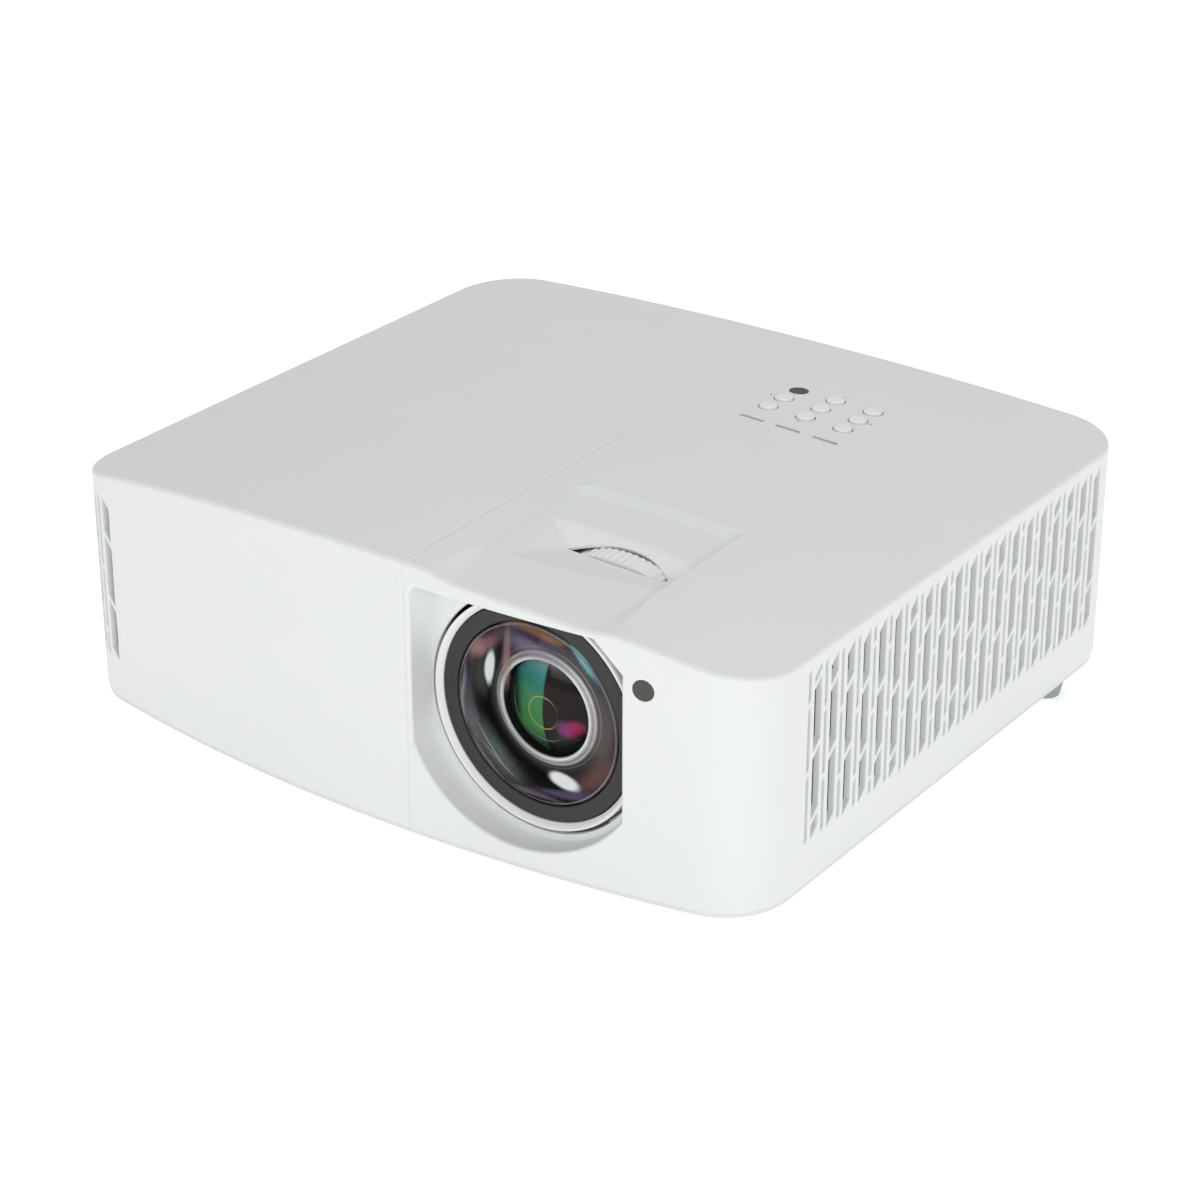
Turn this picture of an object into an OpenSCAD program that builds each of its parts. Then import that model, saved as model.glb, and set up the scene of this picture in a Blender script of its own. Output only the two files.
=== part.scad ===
// Home projector, short throw, lamp lit. Millimetres, +Z up, lens towards -Y.
// The origin is on the resting plane, under the middle of the case.

/* [Case] */
// Width of the case, left to right
case_w = 315; // [300:1:330]
// Depth of the case, front to rear
case_d = 288; // [280:1:300]
// Height of the foot pads under the case
foot_h = 8.6; // [7:0.1:10]
// Height of the top's long side edges above the resting plane
edge_z = 100.4; // [98:0.1:103]
// Rise of the top's middle line above its side edges, half way back
crown_mid = 11.5; // [8:0.1:13]
// How much that rise grows at the front and shrinks at the rear
crown_fall = 6.1; // [0:0.1:6.5]
// How far the front wall bows forward in the middle
front_bow = 18.2; // [10:0.1:22]
// Radius of the case's upright corners
corner_r = 27.3; // [20:0.1:32]
// Wall thickness of the covers
wall = 2.5; // [2:0.1:3]
// Width of the joint line between two covers
seam = 0.3; // [0.2:0.1:0.6]

/* [Lens] */
// Distance of the lens axis to the right of the middle
lens_x = 68.6; // [67:0.1:69]
// Height of the lens axis
lens_z = 66.9; // [66:0.1:67.2]
// Outside radius of the focus ring's ribbed rim, which the hand turns
wheel_r = 42.4; // [42:0.1:42.6]
// Outside radius of the focus ring's front sleeve
sleeve_r = 44.2; // [43.5:0.1:44.4]
// Radius of the front glass
glass_r = 35; // [34:0.5:36]
// Radius of the second glass
inner_glass_r = 18.5; // [17:0.5:19]

/* [Keypad] */
// Sideways pitch of the button grid
key_pitch_x = 17.3; // [15:0.1:18]
// Front to rear pitch of the button grid
key_pitch_y = 11.3; // [10.5:0.1:12]
// Radius of a button cap
key_r = 3.7; // [3.2:0.1:4]
// Height of a cap above the top cover
key_proud = 1.0; // [0.6:0.1:1.5]

/* [Vents] */
// Pitch of one narrow and one wide slot together
vent_pitch = 10.7; // [9:0.1:12]
// Width of a narrow slot
slot_narrow = 1.8; // [1:0.1:2.5]
// Width of a wide slot
slot_wide = 4.6; // [3:0.1:5]
// Thickness of the grille bars
grille_t = 3; // [2:0.1:3.5]

/* [Feet and mounts] */
// Radius of a foot pad
foot_r = 7; // [6:0.1:7.5]
// Sideways distance between the two rear feet
rear_foot_span = 296; // [270:1:296]
// Sideways distance between ceiling mount inserts
mount_dx = 190; // [180:1:200]
// Front to rear distance between ceiling mount inserts
mount_dy = 130; // [120:1:140]
// Radius of the ceiling mount holes, for M4 screws
mount_hole_r = 2; // [2:0.1:2.2]

/* [Hidden] */
$fn = 72;

half_w = case_w / 2;
half_d = case_d / 2;
case_z = foot_h + 2;               // lower edge of the top cover
floor_z = case_z - 0.1;            // upper face of the bottom cover's floor
lift = foot_h - 8.6;               // everything that stands on the floor rises with the feet
front_arc_r = (half_w * half_w + front_bow * front_bow) / (2 * front_bow);
front_arc_cy = front_arc_r - half_d;
corner_x = half_w - corner_r;
front_corner_y = front_arc_cy - sqrt(pow(front_arc_r - corner_r, 2) - corner_x * corner_x);
rear_corner_y = half_d - corner_r;
arc_half_angle = atan2(corner_x, front_arc_cy - front_corner_y);

// Joint line of the removable lamp cover: its right edge runs back at a small slant
lamp_seam_x = 19.7;
lamp_seam_slant = 3.9;
lamp_seam_y = 7.5;
lamp_screw_x = -half_w + 5.9;
lamp_screw_y = 2;

// Focus recess in the top: a floor that falls towards the wheel, a steep face and a ledge behind it
recess_x = 69;
recess_y = -81;
recess_z = 107.05 + lift;
recess_left = -38.6;
recess_right = 26.2;
recess_turn = 5;
recess_roll = 2.65;
floor_slope = 0.2;
face_slope = 0.27;
face_reach = 13.5;
ledge_depth = 1.2;
ledge_back = 38.5;
ledge_roll = 3.6;
slot_arc_x = 70.5;                 // arc of the slot's rear edge behind the focus wheel
slot_arc_y = -101.5;
slot_arc_r = 28;
slot_x0 = 46;
slot_x1 = 90.3;

// Lens window in the front wall
window_cx = 67.5;
window_cz = 66 + lift;
window_r = 48.8;
window_left = 22.5;
window_right = 108;
window_top_left = 109 + lift;
window_top_right = 107.3 + lift;
window_chamfer_x = 97;
window_chamfer_z = 96 + lift;
tray_y = -131.5;                   // front face of the plate around the focus ring
tray_hole_r = 45.2;

ring_front_y = -132.5;
ring_step_y = -104.5;
ring_rear_y = -76.2;
wheel_front_y = -84.4;
neck_r = 37.8;                     // the ring between its front sleeve and its rim
ring_bore_r = 36.4;
barrel_r = 36;
cell_front_y = -131;
cell_rear_y = -108;
inner_front = 126;                 // front and rear of the inner lens cell, measured forward of the middle
inner_rear = 110;

key_x = 53.4;
key_y = 77.9;
key_board_z = 98.4 + lift;
switch_top_z = key_board_z + 4;
light_pipe_x = key_x + 1.3;
light_pipe_y = 51.9;
light_pipe_pitch = 16.8;
light_pipe_w = 10.8;
light_pipe_d = 1.5;
front_window_x = 116.1;            // window for the remote control in the front wall
front_window_z = 92.3 + lift;
remote_r = 3.95;                   // radius of both windows for the remote control

vent_z0 = 27 + lift;
vent_z1 = 96 + lift;
vent_front_y = -93.5;
vent_pairs = 20;
vent_row = 27;                     // height from one slanted bridge to the next in a column
vent_drop = 5.2;                   // how much lower the bridges sit at each pair towards the rear
bridge_wide = 90 + lift;           // height of the first bridge in the foremost wide column
bridge_narrow = 82 + lift;
bridge = 2.4;                      // height of a bridge
left_phase = -10.8;                // the left side's bridges sit this much lower
left_shift = 1.9;                  // and its columns this much further back
corner_columns = 9;                // slot columns that run on round the front left corner
grille_y0 = vent_front_y - 3;      // the grilles' ends
grille_left_y0 = vent_front_y + left_shift - 12.6;
grille_y1 = vent_front_y + (vent_pairs - 0.5) * vent_pitch + 4;

rear_open_w = 244;
rear_z0 = 18 + lift;
rear_z1 = 92 + lift;
rear_face_y = half_d - 1.5;
rear_panel_t = 2.5;
board_t = 1.6;                     // thickness of the circuit boards
board_z = 60 + lift;
socket_plate_z = board_z + board_t;  // joint between the lower and upper part of the rear panel
inlet_x = 96;
inlet_z = 38 + lift;
foot_front_y = -112;
foot_rear_y = 102;
fan = 80;
fan_t = 20;
fan_z = 53 + lift;
fan_x = half_w - grille_t - 4 - fan_t;
intake_y = -20;
exhaust_front_y = -42;
exhaust_rear_y = 46;

hdmi_x = [-30, -6];                // the sockets' middles along the rear
usb_x = 18;
serial_x = -66;
audio_x = 38;
insert_h = 7;                      // threaded inserts of the ceiling mount
insert_r = 3.2;
socket_h = 15;                     // sockets of the feet, and the feet's studs
stud_r = 4;
foot_stud_h = 12.5;

beam_y = 0;                        // line of the light from the lamp to the prism
beam_z = 50 + lift;
engine_x0 = 22;
engine_x1 = 118;
engine_y0 = -31;
engine_y1 = 34;
engine_z0 = 22;
engine_z1 = 99;
colour_wheel_x = -24;
colour_wheel_z = beam_z + 19;
lamp_x0 = -120;
lamp_x1 = -48;
lamp_half_w = 33;

function key_places() = [
    [-1, -1], [1, -1], [1, 1], [0, 1], [0, -1], [-1, 0], [1, 0], [0, 0]
];
function arc_points(cx, cy, r, a0, a1, n) =
    [for (i = [0:n]) let (a = a0 + (a1 - a0) * i / n) [cx + r * cos(a), cy + r * sin(a)]];
function outline(t) = concat(
    arc_points(0, front_arc_cy, front_arc_r - t, 270 - arc_half_angle, 270 + arc_half_angle, 24),
    arc_points(corner_x, front_corner_y, corner_r - t, 270 + arc_half_angle, 360, 9),
    arc_points(corner_x, rear_corner_y, corner_r - t, 0, 90, 9),
    arc_points(-corner_x, rear_corner_y, corner_r - t, 90, 180, 9),
    arc_points(-corner_x, front_corner_y, corner_r - t, 180, 270 - arc_half_angle, 9));
function crown_share(x) = let (u = x / half_w) 1 - 0.823 * u * u - 0.177 * pow(u, 4);
function crown_z(x, y) = edge_z + lift + crown_share(x) * (crown_mid - crown_fall * y / half_d);

// Solid under the crowned top surface, lowered by drop
module crown_block(drop) {
    n = 24;
    x_out = half_w + 4;
    y_out = half_d + 6;
    xs = [for (i = [0:n]) -x_out + 2 * x_out * i / n];
    points = [for (x = xs) each [
        [x, -y_out, crown_z(x, -y_out) - drop], [x, y_out, crown_z(x, y_out) - drop],
        [x, -y_out, 0], [x, y_out, 0]]];
    strips = [for (i = [0:n - 1]) let (a = 4 * i, b = 4 * i + 4) each [
        [a, a + 1, b + 1], [a, b + 1, b], [a + 2, b + 2, b + 3, a + 3],
        [a, b, b + 2, a + 2], [a + 1, a + 3, b + 3, b + 1]]];
    ends = [[0, 2, 3, 1], [4 * n, 4 * n + 1, 4 * n + 3, 4 * n + 2]];
    polyhedron(points, concat(strips, ends));
}

// Case volume inset by t, from z0 up to the crown
module case_volume(t, z0) {
    intersection() {
        translate([0, 0, z0]) linear_extrude(150) polygon(outline(t));
        crown_block(t);
    }
}

// Removes the focus recess, or with grow > 0 the recess and the wall under it
module recess_cut(grow) {
    drop = grow * 1.05;
    floor_reach = 58;
    high = 30;
    width = recess_right - recess_left + 2 * grow;
    translate([recess_x, recess_y, recess_z - drop]) rotate([0, 0, recess_turn]) rotate([0, recess_roll, 0])
        translate([recess_left - grow, 0, 0]) rotate([90, 0, 90]) linear_extrude(width) polygon([
            [-floor_reach, floor_slope * floor_reach], [0, 0], [face_reach, face_slope * face_reach],
            [face_reach, high], [-floor_reach, high]]);
    ledge_z = crown_z(recess_x, recess_y + face_reach) - ledge_depth - drop;
    translate([recess_x, recess_y, ledge_z]) rotate([0, 0, recess_turn]) rotate([0, ledge_roll, 0])
        translate([recess_left - grow, face_reach / 2, 0])
            cube([width, ledge_back - face_reach / 2 + grow, high]);
}

// Lens window outline in the XZ plane, grown by g
module window_shape(g) {
    r = window_r + g;
    left = window_left - g;
    right = window_right + g;
    a0 = 180 + asin(sqrt(r * r - pow(window_cx - left, 2)) / r);
    a1 = 360 - asin(sqrt(r * r - pow(right - window_cx, 2)) / r);
    polygon(concat(
        arc_points(window_cx, window_cz, r, a0, a1, 28),
        [[right, window_chamfer_z], [window_chamfer_x, window_top_right + g]],
        arc_points(left + 4, window_top_left + g - 4, 4, 90, 180, 4)));
}
module window_prism(g, y0, y1) {
    translate([0, y1, 0]) rotate([90, 0, 0]) linear_extrude(y1 - y0) window_shape(g);
}

// Tube along Y about the lens axis
module lens_tube(r_out, r_in, y0, y1) {
    translate([lens_x, y1, lens_z + lift]) rotate([90, 0, 0]) difference() {
        cylinder(r = r_out, h = y1 - y0, $fn = 144);
        if (r_in > 0) translate([0, 0, -1]) cylinder(r = r_in, h = y1 - y0 + 2, $fn = 144);
    }
}

// Opening over the focus ring's rim: a segment of an upright cylinder, straight at its front
module wheel_slot() {
    intersection() {
        translate([slot_arc_x, slot_arc_y, lens_z + lift]) cylinder(r = slot_arc_r, h = 50, $fn = 96);
        translate([slot_x0, wheel_front_y - 0.5, lens_z + lift]) cube([slot_x1 - slot_x0, 30, 50]);
    }
}
// Region of the removable lamp cover, shrunk by s
module lamp_region(s) {
    slant = tan(lamp_seam_slant);
    y_front = -half_d - 10;
    linear_extrude(200) polygon([
        [-half_w - 10, y_front], [lamp_seam_x + slant * (-half_d - y_front) - s, y_front],
        [lamp_seam_x - slant * (half_d + lamp_seam_y) - s, lamp_seam_y - s],
        [-half_w - 10, lamp_seam_y - s]]);
}

// Vent slots: one column every half pitch, narrow where i is even and wide where it is odd
function column_offset(i) = i * vent_pitch / 2;
function is_wide(i) = abs(i) % 2 == 1;
function column_width(i) = is_wide(i) ? slot_wide : slot_narrow;
function column_bridges(i, phase) = [for (m = [-2:9])
    let (z = (is_wide(i) ? bridge_wide : bridge_narrow) + phase - vent_drop * floor(i / 2) + vent_row * m)
    if (z > vent_z0 + 7 && z < vent_z1 - 5) z];

// One slot through the wall, as a prism along X, its ends slanted up to the rear
module slot(width, z0, z1) {
    translate([-8, 0, 0]) rotate([90, 0, 90]) linear_extrude(16) polygon([
        [-width / 2, z0 - width / 2], [width / 2, z0 + width / 2],
        [width / 2, z1 + width / 2], [-width / 2, z1 - width / 2]]);
}
// One column of slots, parted by slanted bridges that step down from column to column
module slot_column(i, phase) {
    cuts = column_bridges(i, phase);
    half = column_width(i) / 2;
    lows = concat([vent_z0 + half], [for (z = cuts) z + bridge / 2]);
    highs = concat([for (z = cuts) z - bridge / 2], [vent_z1 - half]);
    for (k = [0:len(lows) - 1]) slot(column_width(i), lows[k], highs[k]);
}
// The columns that run on forward round the right front corner
module corner_slots() {
    for (j = [3:corner_columns]) {
        arc = front_corner_y - vent_front_y - left_shift + column_offset(j);
        turn = 90 - arc * 180 / (PI * corner_r);
        translate([corner_x, front_corner_y, 0]) rotate([0, 0, 270 + turn]) translate([corner_r, 0, 0])
            slot_column(-j, left_phase);
    }
}

// Frame of the grille windows in the side walls
module grille_window(y0, y1, grow) {
    translate([0, y0 - grow, vent_z0 - 3 - grow])
        cube([half_w + 10, y1 - y0 + 2 * grow, vent_z1 - vent_z0 + 4 + 2 * grow]);
}

// A grille: the wall between y0 and y1 with its slots
module grille(y0, y1, phase, shift) {
    margin = 0.9;
    difference() {
        intersection() {
            difference() {
                case_volume(0, case_z);
                case_volume(grille_t, case_z - 1);
            }
            grille_window(y0, y1, 0);
            translate([corner_x, y0, 0]) cube([corner_r + 1, y1 - y0, 150]);
        }
        for (i = [-2:2 * vent_pairs - 1])
            let (y = vent_front_y + shift + column_offset(i), reach = column_width(i) / 2 + margin)
                if (y > y0 + reach && y < y1 - reach)
                    translate([half_w, y, 0]) slot_column(i, phase);
    }
}

// Both shells that close the case, before they are split at the lamp cover's seam
module shell() {
    difference() {
        union() {
            difference() {
                case_volume(0, case_z);
                difference() {
                    case_volume(wall, case_z - 1);
                    recess_cut(wall);
                }
            }
            intersection() {
                difference() {
                    window_prism(2, -half_d, tray_y + 2);
                    window_prism(0, -half_d - 1, tray_y);
                    lens_tube(tray_hole_r, 0, -half_d - 2, tray_y + 3);
                }
                case_volume(wall / 2, case_z);
            }
        }
        recess_cut(0);
        window_prism(0, -half_d - 1, tray_y);
        lens_tube(wheel_r + 0.5, 0, wheel_front_y - 0.5, ring_rear_y + 0.6);
        wheel_slot();
        lens_tube(sleeve_r + 0.5, 0, ring_front_y - 0.5, ring_step_y + 0.5);
        grille_window(grille_y0, grille_y1, seam);
        mirror([1, 0, 0]) grille_window(grille_left_y0, lamp_seam_y - 3, seam);
        mirror([1, 0, 0]) grille_window(lamp_seam_y + 3, grille_y1, seam);
        translate([-rear_open_w / 2, half_d - 10, rear_z0]) cube([rear_open_w, 20, rear_z1 - rear_z0]);
    }
}

module top_cover() {
    color([0.86, 0.87, 0.86]) difference() {
        shell();
        lamp_region(0);
        for (p = key_places())
            translate([key_x + p[0] * key_pitch_x, key_y + p[1] * key_pitch_y, key_board_z])
                cylinder(r = key_r + 0.4, h = 20);
        translate([key_x - key_pitch_x, key_y + key_pitch_y, key_board_z])
            cylinder(r = remote_r + 0.05, h = 20);
        for (i = [-1:1])
            translate([light_pipe_x + i * light_pipe_pitch - light_pipe_w / 2 - 0.1,
                light_pipe_y - light_pipe_d / 2 - 0.1, key_board_z])
                cube([light_pipe_w + 0.2, light_pipe_d + 0.2, 20]);
        translate([front_window_x, -half_d + 20, front_window_z]) rotate([90, 0, 0])
            cylinder(r = remote_r + 0.05, h = 30);
    }
}

module lamp_cover() {
    color([0.86, 0.87, 0.86]) difference() {
        intersection() {
            shell();
            lamp_region(seam);
        }
        mirror([1, 0, 0]) corner_slots();
    }
    color([0.86, 0.87, 0.86]) difference() {
        translate([-half_w + wall - 0.4, lamp_screw_y - 3.5, case_z + 4]) cube([7, 7, 6]);
        translate([lamp_screw_x, lamp_screw_y, case_z]) cylinder(r = 1.25, h = 20);
    }
}

module lamp_cover_screw() {
    color([0.6, 0.6, 0.6]) translate([lamp_screw_x, lamp_screw_y, foot_h + 0.2]) {
        cylinder(r = 2.5, h = 1);
        cylinder(r = 1.2, h = 9);
    }
}

module rear_panel() {
    y0 = rear_face_y - rear_panel_t;
    color([0.25, 0.26, 0.27]) difference() {
        translate([-rear_open_w / 2 + seam, y0, rear_z0 + seam])
            cube([rear_open_w - 2 * seam, rear_panel_t, socket_plate_z - rear_z0 - 2 * seam]);
        translate([inlet_x - 15, y0 - 5, inlet_z - 12]) cube([30, 20, 24]);
        translate([-98, y0 - 5, rear_z0 + 12]) cube([3, 20, 7]);
        for (i = [0:13], j = [0:2])
            translate([-86 + i * 6, y0 - 5, rear_z0 + 8 + j * 9]) cube([3, 20, 6.5]);
    }
}
// Upper part of the rear panel, notched from below for the sockets
module socket_plate() {
    y0 = rear_face_y - rear_panel_t;
    color([0.25, 0.26, 0.27]) difference() {
        translate([-rear_open_w / 2 + seam, y0, socket_plate_z])
            cube([rear_open_w - 2 * seam, rear_panel_t, rear_z1 - seam - socket_plate_z]);
        for (x = hdmi_x) socket_notch(x, 16, 7.2, y0);
        socket_notch(usb_x, 14, 7.4, y0);
        socket_notch(serial_x, 32, 13.2, y0);
        translate([audio_x, y0 + 10, socket_plate_z + 5]) rotate([90, 0, 0]) cylinder(r = 4.1, h = 20);
        socket_notch(audio_x, 8.2, 5, y0);
    }
}
module socket_notch(x, w, h, y0) {
    translate([x - w / 2, y0 - 5, socket_plate_z - 1]) cube([w, 20, h + 1]);
}

module vent_grille_right() {
    color([0.84, 0.85, 0.85]) grille(grille_y0, grille_y1, 0, 0);
}
module vent_grille_left_front() {
    color([0.84, 0.85, 0.85]) mirror([1, 0, 0])
        grille(grille_left_y0, lamp_seam_y - 3, left_phase, left_shift);
}
module vent_grille_left_rear() {
    color([0.84, 0.85, 0.85]) mirror([1, 0, 0])
        grille(lamp_seam_y + 3, grille_y1, left_phase, left_shift);
}

// Places of the feet's sockets, of the mount inserts and of the case screws
function foot_places() = [[0, foot_front_y], [rear_foot_span / 2, foot_rear_y],
    [-rear_foot_span / 2, foot_rear_y]];
function mount_places() = [for (sx = [-1, 1], sy = [-1, 1]) [sx * mount_dx / 2, sy * mount_dy / 2]];
function screw_places() = [[-120, -118], [120, -118], [-118, 128], [118, 128], [0, 134]];

module bottom_cover() {
    inner = wall + 0.2;
    lip_h = 9;
    color([0.80, 0.81, 0.81]) difference() {
        union() {
            translate([0, 0, foot_h]) linear_extrude(floor_z - foot_h) polygon(outline(0.6));
            translate([0, 0, foot_h + 0.5]) difference() {
                linear_extrude(lip_h) polygon(outline(inner));
                translate([0, 0, -1]) linear_extrude(lip_h + 2) polygon(outline(inner + 1.8));
                translate([window_cx - 32, -half_d, 5.5]) cube([64, 14, lip_h]);
            }
            for (p = foot_places()) translate([p[0], p[1], foot_h]) cylinder(r = 6.5, h = socket_h);
            for (p = mount_places()) translate([p[0], p[1], foot_h]) cylinder(r = 6, h = insert_h + 2);
            for (p = screw_places()) translate([p[0], p[1], foot_h]) cylinder(r = 4, h = 7);
            for (p = standoff_places())
                translate([p[0], p[1], foot_h]) cylinder(r = 3, h = 20 + lift - foot_h);
        }
        translate([-half_w, lamp_screw_y - 5, floor_z]) cube([12, 10, 20]);
        for (p = foot_places())
            translate([p[0], p[1], foot_h - 1]) cylinder(r = stud_r + 0.08, h = socket_h);
        for (p = mount_places())
            translate([p[0], p[1], foot_h - 1]) cylinder(r = insert_r, h = insert_h + 1);
        for (p = screw_places()) translate([p[0], p[1], foot_h - 1]) {
            cylinder(r = 1.55, h = 10);
            cylinder(r = 3, h = 3.4);
        }
        for (p = standoff_places()) translate([p[0], p[1], 14 + lift]) cylinder(r = 1.25, h = 10);
        translate([lamp_screw_x, lamp_screw_y, foot_h - 1]) {
            cylinder(r = 1.5, h = 20);
            cylinder(r = 2.8, h = 2.2);
        }
        for (i = [0:11], j = [0:1])
            translate([20 + i * 8, -98 + j * 36, foot_h - 1]) cube([4, 26, 10]);
    }
}

function standoff_places() = [for (x = [-112, -18], y = [-112, -62]) [x, y]];

module foot(i) {
    p = foot_places()[i];
    top = foot_h + foot_stud_h;
    color([0.60, 0.65, 0.63]) translate([p[0], p[1], 0])
        rotate_extrude() polygon([[0, 0], [foot_r - 1.6, 0], [foot_r - 0.8, 0.8], [foot_r, foot_h - 2],
            [foot_r - 0.8, foot_h - 0.4], [stud_r, foot_h - 0.4], [stud_r, top], [0, top]]);
}
module mount_inserts() {
    color([0.78, 0.63, 0.33]) for (p = mount_places()) translate([p[0], p[1], foot_h]) difference() {
        cylinder(r = insert_r, h = insert_h);
        translate([0, 0, -1]) cylinder(r = mount_hole_r, h = insert_h + 2);
    }
}
module case_screws() {
    color([0.55, 0.55, 0.56]) for (p = screw_places()) translate([p[0], p[1], foot_h + 0.3]) {
        cylinder(r = 2.7, h = 2);
        cylinder(r = 1.4, h = 10);
    }
}

module focus_ring() {
    color([0.90, 0.90, 0.89]) {
        difference() {
            union() {
                lens_tube(sleeve_r, 0, ring_front_y, ring_step_y);
                lens_tube(neck_r, 0, ring_step_y - 1, ring_rear_y);
                lens_tube(wheel_r, 0, wheel_front_y, ring_rear_y);
            }
            lens_tube(41.6, 0, ring_front_y - 1, ring_step_y - 1.5);
            lens_tube(ring_bore_r, 0, ring_step_y - 2, ring_rear_y + 1);
        }
    }
}
module front_lens_cell() {
    color([0.2, 0.2, 0.2]) lens_tube(41.2, glass_r + 0.2, cell_front_y, cell_rear_y);
}
// A dome glass along Y: edge plane y_edge, sagitta sag, thickness at the middle t, depth of its rim
module dome_glass(r, y_edge, sag, t, rim) {
    ball = (r * r + sag * sag) / (2 * sag);
    hollow_sag = sag - t + rim;
    hollow_r = r - 3;
    hollow = (hollow_r * hollow_r + hollow_sag * hollow_sag) / (2 * hollow_sag);
    difference() {
        intersection() {
            lens_tube(r, 0, y_edge - sag - 1, y_edge + rim);
            translate([lens_x, y_edge - sag + ball, lens_z + lift]) sphere(r = ball, $fn = 144);
        }
        translate([lens_x, y_edge - sag + t + hollow, lens_z + lift]) sphere(r = hollow, $fn = 144);
    }
}
module front_glass() {
    color([0.4, 0.5, 0.5, 0.5]) dome_glass(glass_r, cell_front_y + 0.5, 8, 4, 8);
}
module inner_lens_cell() {
    bore = inner_glass_r + 0.1;
    color([0.7, 0.7, 0.7]) translate([lens_x, 0, lens_z + lift]) rotate([90, 0, 0])
        rotate_extrude($fn = 144) polygon([
            [bore, inner_rear], [bore, inner_front], [bore + 1.9, inner_front],
            [glass_r - 4, inner_front - 6.5], [glass_r + 0.1, inner_front - 8],
            [glass_r + 0.1, inner_rear]]);
}
module inner_glass() {
    color([0.2, 0.5, 0.35, 0.5]) dome_glass(inner_glass_r, 4 - inner_front, 5, 5, 3.5);
}
module lens_barrel() {
    color([0.12, 0.12, 0.12]) difference() {
        union() {
            lens_tube(barrel_r, 0, -102, ring_rear_y - 1);
            lens_tube(35, 0, ring_rear_y - 1, -36);
            lens_tube(40, 0, -36, engine_y0);
        }
        lens_tube(32, 0, -103, -60);
        lens_tube(26.1, 0, -61, engine_y0 + 1);
    }
}
module rear_glass() {
    r = 26;
    ball = 60;
    half_angle = asin(r / ball);
    sag = ball * (1 - cos(half_angle));
    edge = 2;
    steps = 8;
    arc = [for (i = [0:steps]) let (a = half_angle * i / steps) [ball * sin(a), sag - ball * (1 - cos(a))]];
    front = [for (p = arc) [p[0], edge + p[1]]];
    rear = [for (i = [steps:-1:0]) [arc[i][0], -arc[i][1]]];
    color([0.5, 0.6, 0.65, 0.5]) translate([lens_x, -50, lens_z + lift]) rotate([90, 0, 0])
        rotate_extrude() polygon(concat(rear, front));
}

module light_engine_housing() {
    t = 3;
    color([0.66, 0.67, 0.69]) difference() {
        translate([engine_x0, engine_y0, engine_z0 + lift])
            cube([engine_x1 - engine_x0, engine_y1 - engine_y0, engine_z1 - engine_z0]);
        translate([engine_x0 + t, engine_y0 + t, engine_z0 + t + lift])
            cube([engine_x1 - engine_x0 - 2 * t, engine_y1 - engine_y0 - 2 * t,
                engine_z1 - engine_z0 - 2 * t]);
        lens_tube(26, 0, engine_y0 - 1, engine_y0 + t + 1);
        translate([engine_x0 - 1, beam_y - 5.5, beam_z - 5.5]) cube([t + 2, 11, 11]);
        translate([lens_x - 14, engine_y1 - t - 1, lens_z - 11 + lift]) cube([28, t + 2, 22]);
    }
}
module prism() {
    color([0.75, 0.85, 0.88, 0.5]) translate([lens_x - 15, engine_y1 - 30, lens_z - 14 + lift])
        cube([30, 26, 28]);
    color([0.4, 0.4, 0.42]) translate([lens_x - 15, engine_y1 - 30, engine_z0 + 3 + lift])
        cube([30, 26, lens_z - 14 - engine_z0 - 3]);
}
module integrator_rod() {
    color([0.7, 0.72, 0.74]) translate([-18, beam_y - 4, beam_z - 4]) difference() {
        cube([70, 8, 8]);
        translate([-1, 1.2, 1.2]) cube([72, 5.6, 5.6]);
    }
    color([0.2, 0.2, 0.2]) difference() {
        translate([-4, beam_y - 7, floor_z]) cube([8, 14, beam_z - floor_z + 7]);
        translate([-5, beam_y - 4, beam_z - 4]) cube([10, 8, 8]);
    }
}
module dmd_board() {
    color([0.1, 0.35, 0.2]) translate([lens_x - 26, engine_y1 + 1.5, lens_z - 30 + lift])
        cube([52, board_t, 58]);
    color([0.3, 0.3, 0.32]) translate([lens_x - 13.5, engine_y1 - 2.5, lens_z - 10.5 + lift])
        cube([27, 4, 21]);
}
module dmd_heatsink() {
    color([0.75, 0.75, 0.77]) translate([lens_x - 21, engine_y1 + 3.1, lens_z - 22 + lift]) {
        cube([42, 4, 44]);
        for (i = [0:7]) translate([i * 5.7, 3.9, 0]) cube([1.6, 18, 44]);
    }
}

module colour_wheel() {
    color([0.75, 0.5, 0.55]) translate([colour_wheel_x, beam_y, colour_wheel_z]) rotate([0, 90, 0]) {
        cylinder(r = 25, h = 1.2);
        translate([0, 0, -7]) cylinder(r = 9, h = 8.5);
    }
}
module colour_wheel_motor() {
    color([0.6, 0.6, 0.62]) translate([colour_wheel_x - 13, beam_y, colour_wheel_z]) rotate([0, 90, 0]) {
        cylinder(r = 8, h = 5.5);
    }
}
module colour_wheel_bracket() {
    color([0.55, 0.56, 0.58]) difference() {
        translate([colour_wheel_x - 15, beam_y - 16, floor_z]) cube([2, 32, colour_wheel_z - floor_z + 11]);
        translate([colour_wheel_x - 16, beam_y - 6, beam_z - 6]) cube([4, 12, 12]);
    }
    color([0.55, 0.56, 0.58]) translate([colour_wheel_x - 13, beam_y - 16, floor_z]) cube([10, 32, 2]);
}

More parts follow.
